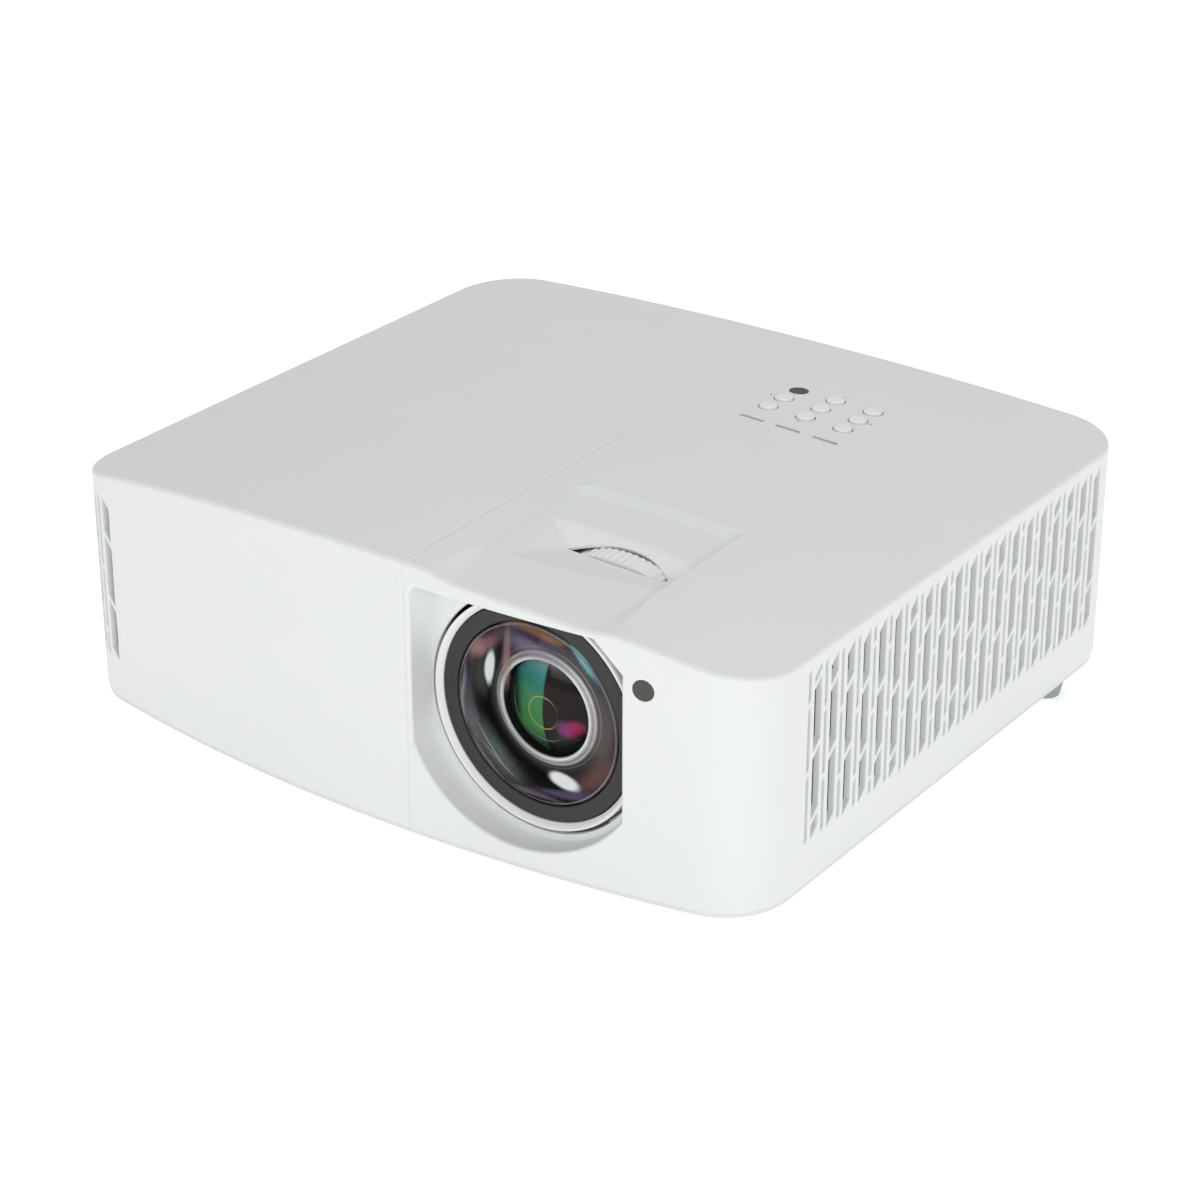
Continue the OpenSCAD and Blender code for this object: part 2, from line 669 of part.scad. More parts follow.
module lamp_housing() {
    t = 2;
    w = 2 * lamp_half_w;
    h = 64;
    color([0.22, 0.22, 0.23]) difference() {
        translate([lamp_x0, -lamp_half_w, 18 + lift]) cube([lamp_x1 - lamp_x0, w, h]);
        translate([lamp_x0 + t, -lamp_half_w + t, 18 + t + lift])
            cube([lamp_x1 - lamp_x0, w - 2 * t, h - 2 * t]);
        for (i = [0:6]) translate([lamp_x0 + 12 + i * 8, -40, 34 + lift]) cube([4, 80, 32]);
        translate([lamp_x1 - 3, beam_y, beam_z]) rotate([0, 90, 0]) cylinder(r = 12, h = 5);
    }
    color([0.22, 0.22, 0.23]) for (x = [lamp_x0 + 4, lamp_x1 - 12], y = [-29, 21])
        translate([x, y, floor_z]) cube([8, 8, 18 + lift - floor_z]);
}
// Half ellipse of the reflector bowl: radius at distance s from its neck
function bowl_r(s) = 27 * sqrt(s / 44);
module lamp_reflector() {
    n = 14;
    outer = [for (i = [1:n]) let (s = 4 + 40 * i / n) [bowl_r(s), s]];
    inner = [for (i = [n:-1:1]) let (s = 4 + 40 * i / n) [bowl_r(s) - 1.8, s + 0.8]];
    color([0.8, 0.82, 0.85]) translate([lamp_x0 + 16, beam_y, beam_z]) rotate([0, 90, 0])
        rotate_extrude() polygon(concat(outer, inner));
    color([0.9, 0.88, 0.84]) translate([lamp_x0 + 60.9, beam_y - 30.9, beam_z - 29.9]) difference() {
        cube([3, 61.8, 59.8]);
        translate([-1, 30.9, 29.9]) rotate([0, 90, 0]) cylinder(r = 25, h = 5);
    }
}
module lamp_burner() {
    color([0.8, 0.82, 0.85, 0.6]) translate([lamp_x0 + 6, beam_y, beam_z]) rotate([0, 90, 0]) {
        cylinder(r = 3, h = 50);
        translate([0, 0, 27]) sphere(r = 5);
        translate([0, 0, 2]) cylinder(r = 6.2, h = 10);
    }
}

// An axial fan frame, axis X, its inner corner at the origin
module fan_frame() {
    difference() {
        cube([fan_t, fan, fan]);
        translate([-1, fan / 2, fan / 2]) rotate([0, 90, 0]) cylinder(r = fan / 2 - 2, h = fan_t + 2);
        for (y = [4.3, fan - 4.3], z = [4.3, fan - 4.3])
            translate([-1, y, z]) rotate([0, 90, 0]) cylinder(r = 2.15, h = fan_t + 2, $fn = 32);
    }
    translate([0, fan / 2, fan / 2]) rotate([0, 90, 0]) cylinder(r = 17, h = 3);
    for (a = [0:90:270]) translate([0, fan / 2, fan / 2]) rotate([a, 0, 0])
        translate([0.4, -2, 15]) cube([2.2, 4, fan / 2 - 16]);
}
// A fan impeller: a hub cup and seven blades set at a pitch
module impeller() {
    translate([3.6, 0, 0]) rotate([0, 90, 0]) cylinder(r = 16, h = fan_t - 4.6);
    for (i = [0:6]) rotate([i * 360 / 7, 0, 0]) translate([11, 0, 15]) rotate([0, 0, 38])
        translate([-7, -1, 0]) cube([14, 1.6, 21]);
}
module intake_fan_frame() {
    color([0.13, 0.13, 0.14]) translate([fan_x, intake_y - fan / 2, fan_z - fan / 2]) fan_frame();
}
module exhaust_fan_frames() {
    color([0.13, 0.13, 0.14]) for (y = [exhaust_front_y, exhaust_rear_y])
        translate([-fan_x, y - fan / 2, fan_z - fan / 2]) mirror([1, 0, 0]) fan_frame();
}
module intake_impeller() {
    color([0.16, 0.16, 0.17]) translate([fan_x, intake_y, fan_z]) impeller();
}
module exhaust_impeller(y) {
    color([0.16, 0.16, 0.17]) translate([-fan_x, y, fan_z]) mirror([1, 0, 0]) impeller();
}

module power_board() {
    z = 24 + lift;
    color([0.55, 0.45, 0.25]) translate([-118, 92, z]) cube([190, 40, board_t]);
    color([0.15, 0.15, 0.16]) {
        translate([-20, 100, z + board_t]) cube([26, 26, 22]);
        translate([-72, 98, z + board_t]) cube([22, 24, 20]);
        for (x = [-105, -90]) translate([x, 112, z + board_t]) cylinder(r = 6, h = 24);
        translate([30, 98, z + board_t]) cube([14, 26, 18]);
    }
    color([0.7, 0.7, 0.72]) translate([-44, 94, z + board_t]) cube([4, 34, 24]);
    color([0.7, 0.7, 0.72]) for (x = [-112, 64], y = [95, 124])
        translate([x, y, floor_z]) cube([5, 5, z - floor_z]);
}
module ballast_board() {
    z = 20 + lift;
    color([0.55, 0.45, 0.25]) difference() {
        translate([-118, -118, z]) cube([106, 62, board_t]);
        for (p = standoff_places()) translate([p[0], p[1], z - 1]) cylinder(r = 1.5, h = 4);
    }
    color([0.15, 0.15, 0.16]) {
        translate([-100, -104, z + board_t]) cube([26, 22, 20]);
        translate([-60, -100, z + board_t]) cube([20, 30, 16]);
        for (y = [-100, -84]) translate([-28, y, z + board_t]) cylinder(r = 6, h = 22);
    }
}
module board_screws() {
    z = 21.6 + lift;
    color([0.7, 0.7, 0.72]) for (p = standoff_places()) translate([p[0], p[1], z]) {
        cylinder(r = 2.6, h = 1.8);
        translate([0, 0, -6]) cylinder(r = 1.2, h = 6.5);
    }
}
module main_board() {
    color([0.08, 0.32, 0.18]) translate([-100, 66, board_z]) cube([200, 71, board_t]);
    color([0.15, 0.15, 0.16]) {
        translate([-30, 80, board_z + board_t]) cube([24, 24, 2]);
        translate([20, 82, board_z + board_t]) cube([16, 16, 1.5]);
        translate([50, 80, board_z + board_t]) cube([12, 20, 1.5]);
    }
    color([0.72, 0.72, 0.74]) {
        translate([-32, 78, board_z + 3.6]) cube([28, 28, 3]);
        for (i = [0:6]) translate([-32, 78 + i * 4.4, board_z + 6.5]) cube([28, 1.4, 9]);
    }
    color([0.72, 0.72, 0.74]) for (p = [[-98, 76], [93, 76], [75, 126]])
        translate([p[0], p[1], floor_z]) cube([5, 5, board_z - floor_z]);
}

// A metal socket shell that opens to the rear, standing on the main board
module socket_shell(x, w, h, depth, t) {
    translate([x - w / 2, rear_face_y - depth, board_z + board_t]) difference() {
        cube([w, depth, h]);
        translate([t, 2, t]) cube([w - 2 * t, depth, h - 2 * t]);
    }
}
module hdmi_ports() {
    color([0.7, 0.7, 0.72]) for (x = hdmi_x) socket_shell(x, 15.4, 6.6, 12, 0.7);
}
module usb_port() {
    color([0.7, 0.7, 0.72]) socket_shell(usb_x, 13.4, 6.8, 14, 0.6);
}
module serial_port() {
    color([0.7, 0.7, 0.72]) translate([serial_x - 15.4, rear_face_y - 12, board_z + board_t])
        cube([30.8, 9, 12.6]);
    color([0.75, 0.75, 0.77]) translate([serial_x - 9, rear_face_y - 3, board_z + 3.8]) difference() {
        cube([18, 4, 8]);
        translate([0.8, 0.5, 0.8]) cube([16.4, 6, 6.4]);
    }
}
module audio_jack() {
    color([0.2, 0.35, 0.25]) difference() {
        union() {
            translate([audio_x - 5.5, rear_face_y - 14, board_z + board_t]) cube([11, 11, 10]);
            translate([audio_x, rear_face_y - 3.1, board_z + 6.6]) rotate([-90, 0, 0])
                cylinder(r = 3.9, h = 3.1);
        }
        translate([audio_x, rear_face_y - 12, board_z + 6.6]) rotate([-90, 0, 0]) cylinder(r = 1.8, h = 14);
    }
}
module ac_inlet() {
    depth = 24;
    color([0.1, 0.1, 0.1]) difference() {
        translate([inlet_x - 14.6, rear_face_y - depth, inlet_z - 11.6]) cube([29.2, depth, 23.2]);
        translate([inlet_x - 12.2, rear_face_y - 17, inlet_z - 8.2]) cube([24.4, 18, 16.4]);
    }
    color([0.75, 0.75, 0.76]) for (p = [[-7, -2], [0, 2], [7, -2]])
        translate([inlet_x + p[0] - 1, rear_face_y - 17.5, inlet_z + p[1] - 2]) cube([2, 12.5, 4]);
}
module speaker() {
    color([0.12, 0.12, 0.12]) difference() {
        translate([-half_w + 8, 92, 40 + lift]) cube([18, 40, 40]);
        translate([-half_w + 7, 112, 60 + lift]) rotate([0, 90, 0]) cylinder(r = 17, h = 5);
    }
    color([0.2, 0.2, 0.2]) translate([-half_w + 9, 112, 60 + lift]) rotate([0, 90, 0])
        cylinder(r1 = 8, r2 = 5, h = 4.2);
}

module keypad_board() {
    color([0.1, 0.35, 0.2]) translate([27, 46, key_board_z]) cube([54, 50, board_t]);
    color([0.2, 0.2, 0.2]) for (p = key_places())
        translate([key_x + p[0] * key_pitch_x - 3, key_y + p[1] * key_pitch_y - 3, key_board_z + board_t])
            cube([6, 6, switch_top_z - key_board_z - board_t]);
}
module button(i) {
    p = key_places()[i];
    x = key_x + p[0] * key_pitch_x;
    y = key_y + p[1] * key_pitch_y;
    top = crown_z(x, y) + key_proud;
    stem_z = switch_top_z + 0.8;
    color([0.90, 0.91, 0.90]) translate([x, y, 0]) {
        translate([0, 0, stem_z]) cylinder(r = key_r, h = top - stem_z);
    }
}
module indicator_light_pipes() {
    color([0.5, 0.52, 0.52]) intersection() {
        for (i = [-1:1])
            translate([light_pipe_x + i * light_pipe_pitch - light_pipe_w / 2,
                light_pipe_y - light_pipe_d / 2, key_board_z + board_t])
                cube([light_pipe_w, light_pipe_d, 20]);
        crown_block(0);
    }
}
module remote_window_top() {
    color([0.15, 0.14, 0.14]) intersection() {
        translate([key_x - key_pitch_x, key_y + key_pitch_y, key_board_z + board_t])
            cylinder(r = remote_r, h = 20);
        crown_block(0);
    }
}
module remote_window_front() {
    color([0.15, 0.14, 0.14]) intersection() {
        translate([front_window_x, -half_d + 13, front_window_z]) rotate([90, 0, 0])
            cylinder(r = remote_r, h = 20);
        translate([0, 0, case_z]) linear_extrude(100) polygon(outline(0));
    }
}

bottom_cover();
top_cover();
lamp_cover();
lamp_cover_screw();
rear_panel();
socket_plate();
vent_grille_right();
vent_grille_left_front();
vent_grille_left_rear();
focus_ring();
front_lens_cell();
front_glass();
inner_lens_cell();
inner_glass();
lens_barrel();
rear_glass();
light_engine_housing();
prism();
integrator_rod();
dmd_board();
dmd_heatsink();
colour_wheel();
colour_wheel_motor();
colour_wheel_bracket();
lamp_housing();
lamp_reflector();
lamp_burner();
intake_fan_frame();
exhaust_fan_frames();
intake_impeller();
exhaust_impeller(exhaust_front_y);  // exhaust_impeller_front
exhaust_impeller(exhaust_rear_y);  // exhaust_impeller_rear
power_board();
ballast_board();
main_board();
hdmi_ports();
usb_port();
serial_port();
audio_jack();
ac_inlet();
speaker();
keypad_board();
button(0);  // button_power
button(1);  // button_menu
button(2);  // button_source
button(3);  // button_up
button(4);  // button_down
button(5);  // button_left
button(6);  // button_right
button(7);  // button_enter
indicator_light_pipes();
remote_window_top();
remote_window_front();
foot(0);  // foot_front
foot(1);  // foot_rear_right
foot(2);  // foot_rear_left
mount_inserts();
case_screws();
board_screws();
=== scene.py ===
# Looks of the home projector: smooth covers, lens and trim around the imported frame.
# Lengths in this script are millimetres unless a name says otherwise; meshes are scaled to metres.
import math

import bpy
import numpy as np
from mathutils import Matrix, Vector
from mathutils.geometry import delaunay_2d_cdt


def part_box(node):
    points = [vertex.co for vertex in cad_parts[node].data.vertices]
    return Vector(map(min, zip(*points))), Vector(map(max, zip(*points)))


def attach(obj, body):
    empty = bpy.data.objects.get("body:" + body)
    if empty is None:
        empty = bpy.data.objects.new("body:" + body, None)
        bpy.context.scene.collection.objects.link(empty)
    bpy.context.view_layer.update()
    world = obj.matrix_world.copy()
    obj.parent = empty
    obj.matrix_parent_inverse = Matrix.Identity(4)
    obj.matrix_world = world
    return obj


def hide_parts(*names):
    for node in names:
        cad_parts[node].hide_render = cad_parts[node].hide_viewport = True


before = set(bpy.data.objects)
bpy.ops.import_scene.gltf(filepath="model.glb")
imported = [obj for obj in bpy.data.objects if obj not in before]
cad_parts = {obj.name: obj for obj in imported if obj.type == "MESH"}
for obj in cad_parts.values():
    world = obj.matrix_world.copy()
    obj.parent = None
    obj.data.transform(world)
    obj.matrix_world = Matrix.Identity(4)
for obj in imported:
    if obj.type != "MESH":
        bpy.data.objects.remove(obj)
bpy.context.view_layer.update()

MM = 0.001
SQUARE = ((-1, -1), (1, -1), (1, 1), (-1, 1))

# Case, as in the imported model
HALF_W = 157.5
HALF_D = 144.0
EDGE_Z = 100.4
CROWN_MID = 11.5
CROWN_FALL = 6.1
FRONT_BOW = 18.2
CORNER_R = 27.3
CASE_Z = 10.6
WALL = 2.5
CORNER_X = HALF_W - CORNER_R
REAR_CORNER_Y = HALF_D - CORNER_R
FRONT_ARC_R = (HALF_W**2 + FRONT_BOW**2) / (2 * FRONT_BOW)
FRONT_ARC_CY = FRONT_ARC_R - HALF_D
FRONT_CORNER_Y = FRONT_ARC_CY - math.sqrt((FRONT_ARC_R - CORNER_R) ** 2 - CORNER_X**2)
ARC_HALF = math.atan2(CORNER_X, FRONT_ARC_CY - FRONT_CORNER_Y)
EDGE_R = 1.5  # rounding of the top's outer edge
FOOT_EDGE_R = 0.4  # rounding of the covers' lower edge

# Lamp cover's joint line
SEAM_X = 19.7
SEAM_SLOPE = math.tan(math.radians(3.9))
SEAM_Y = 7.5
SEAM_HALF = 0.2
SEAM_DEPTH = 0.13
SEAM_OFFSETS = (-1.6, -SEAM_HALF, -0.5 * SEAM_HALF, 0, 0.5 * SEAM_HALF, SEAM_HALF, 1.6)

# Lens
LENS_X = 68.6
LENS_Z = 66.9
WHEEL_R = 42.4
WINDOW = {"cx": 67.5, "cz": 66.0, "r": 48.8, "left": 22.5, "right": 108.0, "top": 109.0}
WINDOW_SLANT = {"x": 97.0, "low": 96.0, "high": 107.3}  # the cut at its top right
TRAY_Y = -131.5
TRAY_HOLE_R = 45.7
WINDOW_EDGE = 1.1  # rounding of the lens window's rim
WINDOW_DRAFT = 3.0  # how far the window's wall leans in down to the plate
RING_FRONT_Y = -132.5
RING_STEP_Y = -104.5
RING_REAR_Y = -76.2
WHEEL_FRONT_Y = -84.4
NECK_R = 37.8
RING_BORE_R = 36.4
RING_SLEEVE_R = 44.2
RING_MOUTH_R = 41.6
CELL_R = 41.2
CELL_FRONT_Y = -131.0
CELL_REAR_Y = -108.0
GLASS_R = 35.0
GLASS_EDGE_Y = -130.5
INNER_R = 18.5
INNER_FRONT_Y = -126.0
INNER_REAR_Y = -110.0

# Keypad
KEY_X = 53.4
KEY_Y = 77.9
KEY_PITCH_X = 17.3
KEY_PITCH_Y = 11.3
KEY_R = 3.7
KEY_PROUD = 1.0
PIPE_X = KEY_X + 1.3
PIPE_Y = 51.9
PIPE_PITCH = 16.8
PIPE_HALF_W, PIPE_HALF_D = 5.5, 0.85
TOP_REMOTE_X, TOP_REMOTE_Y = KEY_X - KEY_PITCH_X, KEY_Y + KEY_PITCH_Y
REMOTE_X, REMOTE_Z = 116.1, 92.3
REMOTE_HOLE_R, REMOTE_R = 4.0, 3.95

# Opening of the rear wall
REAR_HALF_W, REAR_Z0, REAR_Z1 = 122, 18, 92

# Roundings of the holes' rims
KEY_LIP, PIPE_LIP, WHEEL_LIP, REMOTE_LIP, REAR_LIP = 0.25, 0.1, 0.3, 0.3, 0.6

# Vents
VENT_Z0 = 27.0
VENT_Z1 = 96.0
VENT_FRONT_Y = -93.5
VENT_PITCH = 10.7
VENT_PAIRS = 20
SLOT_WIDTH = {0: 1.8, 1: 4.6}  # even columns are narrow, odd ones wide
BRIDGE_Z = {0: 82.0, 1: 90.0}
BRIDGE = 2.4
VENT_ROW = 27.0
VENT_DROP = 5.2
LEFT_PHASE = -10.8
LEFT_SHIFT = 1.9
GRILLE_Y0 = VENT_FRONT_Y - 3
GRILLE_LEFT_Y0 = VENT_FRONT_Y + LEFT_SHIFT - 12.6
GRILLE_Y1 = VENT_FRONT_Y + (VENT_PAIRS - 0.5) * VENT_PITCH + 4


# ---------------------------------------------------------------- materials
def node_material(name):
    material = bpy.data.materials.new(name)
    material.use_nodes = True
    tree = material.node_tree
    return material, tree, tree.nodes["Principled BSDF"]


def feed(tree, node, inputs):
    """Links or sets the node's inputs."""
    for socket, value in dict(inputs).items():
        if isinstance(value, bpy.types.NodeSocket):
            tree.links.new(value, node.inputs[socket])
        else:
            node.inputs[socket].default_value = value


def add_node(tree, kind, inputs=(), **settings):
    node = tree.nodes.new(kind)
    for key, value in settings.items():
        setattr(node, key, value)
    feed(tree, node, inputs)
    return node


def object_place(tree):
    return add_node(tree, "ShaderNodeTexCoord").outputs["Object"]


def noise(tree, scale, detail=3.0, rough=0.5):
    place = object_place(tree)
    inputs = {"Vector": place, "Scale": scale, "Detail": detail, "Roughness": rough}
    return add_node(tree, "ShaderNodeTexNoise", inputs).outputs["Fac"]


def ramp(tree, fac, stops, smooth=False):
    node = add_node(tree, "ShaderNodeValToRGB", {"Fac": fac})
    node.color_ramp.interpolation = "EASE" if smooth else "LINEAR"
    elements = node.color_ramp.elements
    while len(elements) < len(stops):
        elements.new(0.5)
    for element, (at, colour) in zip(elements, stops):
        element.position = at
        element.color = (*colour, 1) if len(colour) == 3 else colour
    return node.outputs["Color"]


def shade(colour, k):
    return tuple(min(1.0, c * k) for c in colour)


def grained(name, colour, rough, vary=0.03, grain=900, bump=0.02, metal=0.0, **sockets):
    """A moulded or machined surface: slight drift of colour and gloss, and a fine grain in relief."""
    material, tree, bsdf = node_material(name)
    stops = [(0.3, shade(colour, 1 - vary)), (0.7, shade(colour, 1 + vary))]
    tint = ramp(tree, noise(tree, 14, 2), stops)
    fine = noise(tree, grain, 2)
    around = {"Value": fine, "To Min": rough * 0.92, "To Max": rough * 1.08}
    gloss = add_node(tree, "ShaderNodeMapRange", around)
    relief = add_node(tree, "ShaderNodeBump", {"Height": fine, "Strength": bump, "Distance": 0.0002})
    feed(tree, bsdf, {"Base Color": tint, "Roughness": gloss.outputs["Result"],
                      "Normal": relief.outputs["Normal"], "Metallic": metal})
    feed(tree, bsdf, {socket.replace("_", " "): value for socket, value in sockets.items()})
    return material


WHITE = (0.765, 0.79, 0.772)
case_white = grained("case_white", WHITE, 0.42, 0.008, 700, 0.03, IOR=1.46)
ring_white = grained("ring_white", (0.82, 0.82, 0.805), 0.38, 0.01, 500, 0.02)
key_white = grained("key_white", (0.84, 0.85, 0.84), 0.34, 0.01, 600, 0.02)
pan_white = grained("pan_white", (0.70, 0.71, 0.70), 0.55, 0.02, 900, 0.15)
panel_grey = grained("panel_grey", (0.055, 0.057, 0.060), 0.5, 0.06, 1200, 0.25)
cell_black = grained("cell_black", (0.020, 0.020, 0.020), 0.55, 0.05, 1500, 0.1)
lens_black = grained("lens_black", (0.012, 0.012, 0.013), 0.35, 0.08, 1500, 0.05, 0.6)
cast_alloy = grained("cast_alloy", (0.45, 0.46, 0.48), 0.45, 0.08, 900, 0.3, 0.9)
motor_steel = grained("motor_steel", (0.5, 0.5, 0.52), 0.35, 0.05, 1800, 0.1, 1.0)
lamp_black = grained("lamp_black", (0.02, 0.02, 0.021), 0.5, 0.06, 900, 0.2)
reflector = grained("reflector", (0.8, 0.82, 0.86), 0.12, 0.03, 400, 0.02, 0.95)
fan_black = grained("fan_black", (0.018, 0.018, 0.02), 0.45, 0.08, 900, 0.1)
board_tan = grained("board_tan", (0.28, 0.19, 0.08), 0.5, 0.15, 250, 0.1)
socket_metal = grained("socket_metal", (0.62, 0.62, 0.63), 0.3, 0.04, 2000, 0.08, 1.0)
socket_black = grained("socket_black", (0.015, 0.015, 0.016), 0.45, 0.08, 1500, 0.1)
light_pipe = grained("light_pipe", (0.40, 0.41, 0.41), 0.3, 0.04, 900, 0.02)
remote_window = grained("remote_window", (0.050, 0.044, 0.038), 0.22, 0.1, 700, 0.01)
foot_rubber = grained("foot_rubber", (0.26, 0.32, 0.30), 0.6, 0.06, 1800, 0.3)
brass = grained("brass", (0.62, 0.43, 0.16), 0.35, 0.06, 1500, 0.1, 1.0)
screw_steel = grained("screw_steel", (0.42, 0.42, 0.44), 0.3, 0.06, 1500, 0.1, 1.0)
dichroic = grained("dichroic", (0.55, 0.25, 0.42), 0.08, 0.3, 60, 0.01, 0.3)
mark_grey = grained("mark_grey", (0.36, 0.375, 0.37), 0.45, 0.04, 900, 0.02)


def board_green():
    """Solder mask with copper traces showing through as lighter lines."""
    material, tree, bsdf = node_material("board_green")
    bricks = add_node(tree, "ShaderNodeTexBrick", {
        "Vector": object_place(tree), "Scale": 90.0, "Mortar Size": 0.012,
        "Color1": (0.012, 0.10, 0.045, 1), "Color2": (0.016, 0.12, 0.055, 1), "Mortar": (0.03, 0.2, 0.09, 1)})
    feed(tree, bsdf, {"Base Color": bricks.outputs["Color"], "Roughness": 0.3})
    return material


def clear_glass(name, colour, rough=0.02):
    """Thin clear glass: see-through where it is faced, reflecting at a slant."""
    material, tree, bsdf = node_material(name)
    tint = ramp(tree, noise(tree, 30), [(0.3, shade(colour, 0.96)), (0.7, colour)])
    feed(tree, bsdf, {"Base Color": tint, "Roughness": rough, "Transmission Weight": 1.0, "IOR": 1.12})
    return material


# ---------------------------------------------------------------- mesh building
def new_object(name, data):
    made = bpy.data.objects.new(name, data)
    bpy.context.scene.collection.objects.link(made)
    return made


def unit(rows):
    return rows / np.maximum(np.linalg.norm(rows, axis=1, keepdims=True), 1e-9)


class Skin:
    """A smooth surface gathered piece by piece, every vertex with its own normal."""

    def __init__(self):
        self.points, self.normals, self.faces = [], [], []

    def add(self, points, normals):
        start = len(self.points)
        self.points.extend(map(tuple, points))
        self.normals.extend(map(tuple, normals))
        return np.arange(start, len(self.points))

    def band(self, rows):
        """Closed rows of (points, normals), each joined to the next by quads."""
        indices = [self.add(points, normals) for points, normals in rows]
        for a, b in zip(indices, indices[1:]):
            for i in range(len(a)):
                j = (i + 1) % len(a)
                self.faces.append((a[i], a[j], b[j], b[i]))
        return indices

    def face(self, row):
        self.faces.append(tuple(row))

    def tidy(self):
        """Merges vertices that share a place and a normal, and drops faces that collapse."""
        points, normals = np.array(self.points), np.array(self.normals)
        key = np.round(np.hstack([points / 0.002, normals / 0.04])).astype(np.int64)
        _, first, back = np.unique(key, axis=0, return_index=True, return_inverse=True)
        back = back.ravel()
        faces = []
        for face in self.faces:
            row = [int(back[i]) for i in face]
            row = [v for k, v in enumerate(row) if v != row[k - 1]]
            if len(set(row)) > 2 and len(set(row)) == len(row):
                faces.append(row)
        return points[first], normals[first], faces

    def build(self, name, material, body, replaced=(), keep=None):
        """Makes the object. keep says which faces stay, from their middles."""
        points, normals, faces = self.tidy()
        if keep is not None:
            middles = np.array([points[f].mean(0) for f in faces])
            faces = [f for f, k in zip(faces, keep(middles)) if k]
            used = sorted({v for f in faces for v in f})
            place = {v: i for i, v in enumerate(used)}
            faces = [[place[v] for v in f] for f in faces]
            points, normals = points[used], normals[used]
        normals = unit(normals)
        mesh = bpy.data.meshes.new(name)
        mesh.from_pydata((points * MM).tolist(), [], faces)
        flip = []
        for polygon in mesh.polygons:
            mean = normals[list(polygon.vertices)].sum(0)
            flip.append(float(np.dot(mean, polygon.normal)) < 0)
        if any(flip):
            rows = [list(p.vertices) for p in mesh.polygons]
            fixed = [row[::-1] if turned_in else row for row, turned_in in zip(rows, flip)]
            mesh.clear_geometry()
            mesh.from_pydata((points * MM).tolist(), [], fixed)
        mesh.polygons.foreach_set("use_smooth", [True] * len(mesh.polygons))
        mesh.normals_split_custom_set_from_vertices(normals.tolist())
        mesh.materials.append(material)
        piece = new_object(name, mesh)
        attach(piece, body)
        if replaced:
            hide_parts(*replaced)
        return piece


def loop_outward(loop):
    """Unit directions away from the inside of a closed loop, at its points."""
    ahead = unit(np.roll(loop, -1, 0) - loop)
    mean = unit(ahead + np.roll(ahead, 1, 0))
    area = 0.5 * np.sum(loop[:, 0] * np.roll(loop[:, 1], -1) - loop[:, 1] * np.roll(loop[:, 0], -1))
    return np.sign(area) * np.stack([mean[:, 1], -mean[:, 0]], 1)


def rounded(corners, radius, step=3.0, turns=4):
    """A closed loop round these corners, each rounded, with points at most step apart on the straights."""
    corners = np.array(corners, float)
    n, loop = len(corners), []
    radii = radius if hasattr(radius, "__len__") else [radius] * n
    for i in range(n):
        before, here, after = corners[i - 1], corners[i], corners[(i + 1) % n]
        d0, d1 = before - here, after - here
        l0, l1 = np.linalg.norm(d0), np.linalg.norm(d1)
        d0, d1 = d0 / l0, d1 / l1
        half = 0.5 * math.acos(max(-1.0, min(1.0, float(d0 @ d1))))
        reach = min(radii[i] / math.tan(half), 0.45 * l0, 0.45 * l1)
        a, b = here + d0 * reach, here + d1 * reach
        for k in range(turns + 1):
            t = k / turns
            loop.append((1 - t) ** 2 * a + 2 * t * (1 - t) * here + t * t * b)
    loop = np.array(loop)
    dense = []
    for i, p in enumerate(loop):
        q = loop[(i + 1) % len(loop)]
        pieces = max(1, int(math.ceil(np.linalg.norm(q - p) / step)))
        dense.extend(p + (q - p) * k / pieces for k in range(pieces))
    return np.array(dense)


def circle(cx, cy, r, n):
    turn = np.linspace(0, 2 * math.pi, n, endpoint=False)
    return np.stack([cx + r * np.cos(turn), cy + r * np.sin(turn)], 1)


def inside(points, loop):
    """Which points lie inside a closed loop, by even and odd crossings."""
    found = np.zeros(len(points), bool)
    box = (points >= loop.min(0)).all(1) & (points <= loop.max(0)).all(1)
    candidates = np.nonzero(box)[0]
    if len(candidates) == 0:
        return found
    p = points[candidates]
    odd = np.zeros(len(p), bool)
    for a, b in zip(loop, np.roll(loop, -1, 0)):
        crosses = (a[1] > p[:, 1]) != (b[1] > p[:, 1])
        if a[1] != b[1]:
            at = a[0] + (p[:, 1] - a[1]) * (b[0] - a[0]) / (b[1] - a[1])
            odd ^= crosses & (p[:, 0] < at)
    found[candidates] = odd
    return found


def clear_of(points, rows, margin):
    """Drops points nearer than margin to any point of the rows."""
    cells = {}
    for row in rows:
        for p in row:
            cells.setdefault((int(p[0] // margin), int(p[1] // margin)), []).append(p)
    kept = []
    for p in points:
        i, j = int(p[0] // margin), int(p[1] // margin)
        near = (q for di in (-1, 0, 1) for dj in (-1, 0, 1) for q in cells.get((i + di, j + dj), ()))
        if all((p[0] - q[0]) ** 2 + (p[1] - q[1]) ** 2 > margin * margin for q in near):
            kept.append(p)
    return np.array(kept).reshape(-1, 2)


def sheet_faces(border, holes, extra, lines=()):
    """Triangles over the flat region inside border and outside the holes.
    extra is loose points, lines open rows."""
    points, edges = [], []
    for row, closed in [(border, True)] + [(h, True) for h in holes] + [(l, False) for l in lines]:
        start = len(points)
        points.extend(map(tuple, row))
        n = len(row)
        edges.extend((start + i, start + (i + 1) % n) for i in range(n if closed else n - 1))
    points.extend(map(tuple, extra))
    found = delaunay_2d_cdt([Vector(p) for p in points], edges, [], 0, 1e-5, False)
    places, faces = np.array([tuple(v) for v in found[0]]), np.array([list(f) for f in found[2]])
    middles = places[faces].mean(1)
    keep = inside(middles, np.array(border))
    for hole in holes:
        keep &= ~inside(middles, np.array(hole))
    return places, faces[keep]


def add_faces(skin, surface, places, faces):
    points, normals = surface(places)
    base = skin.add(points, normals)
    skin.faces.extend(tuple(base[f]) for f in faces)


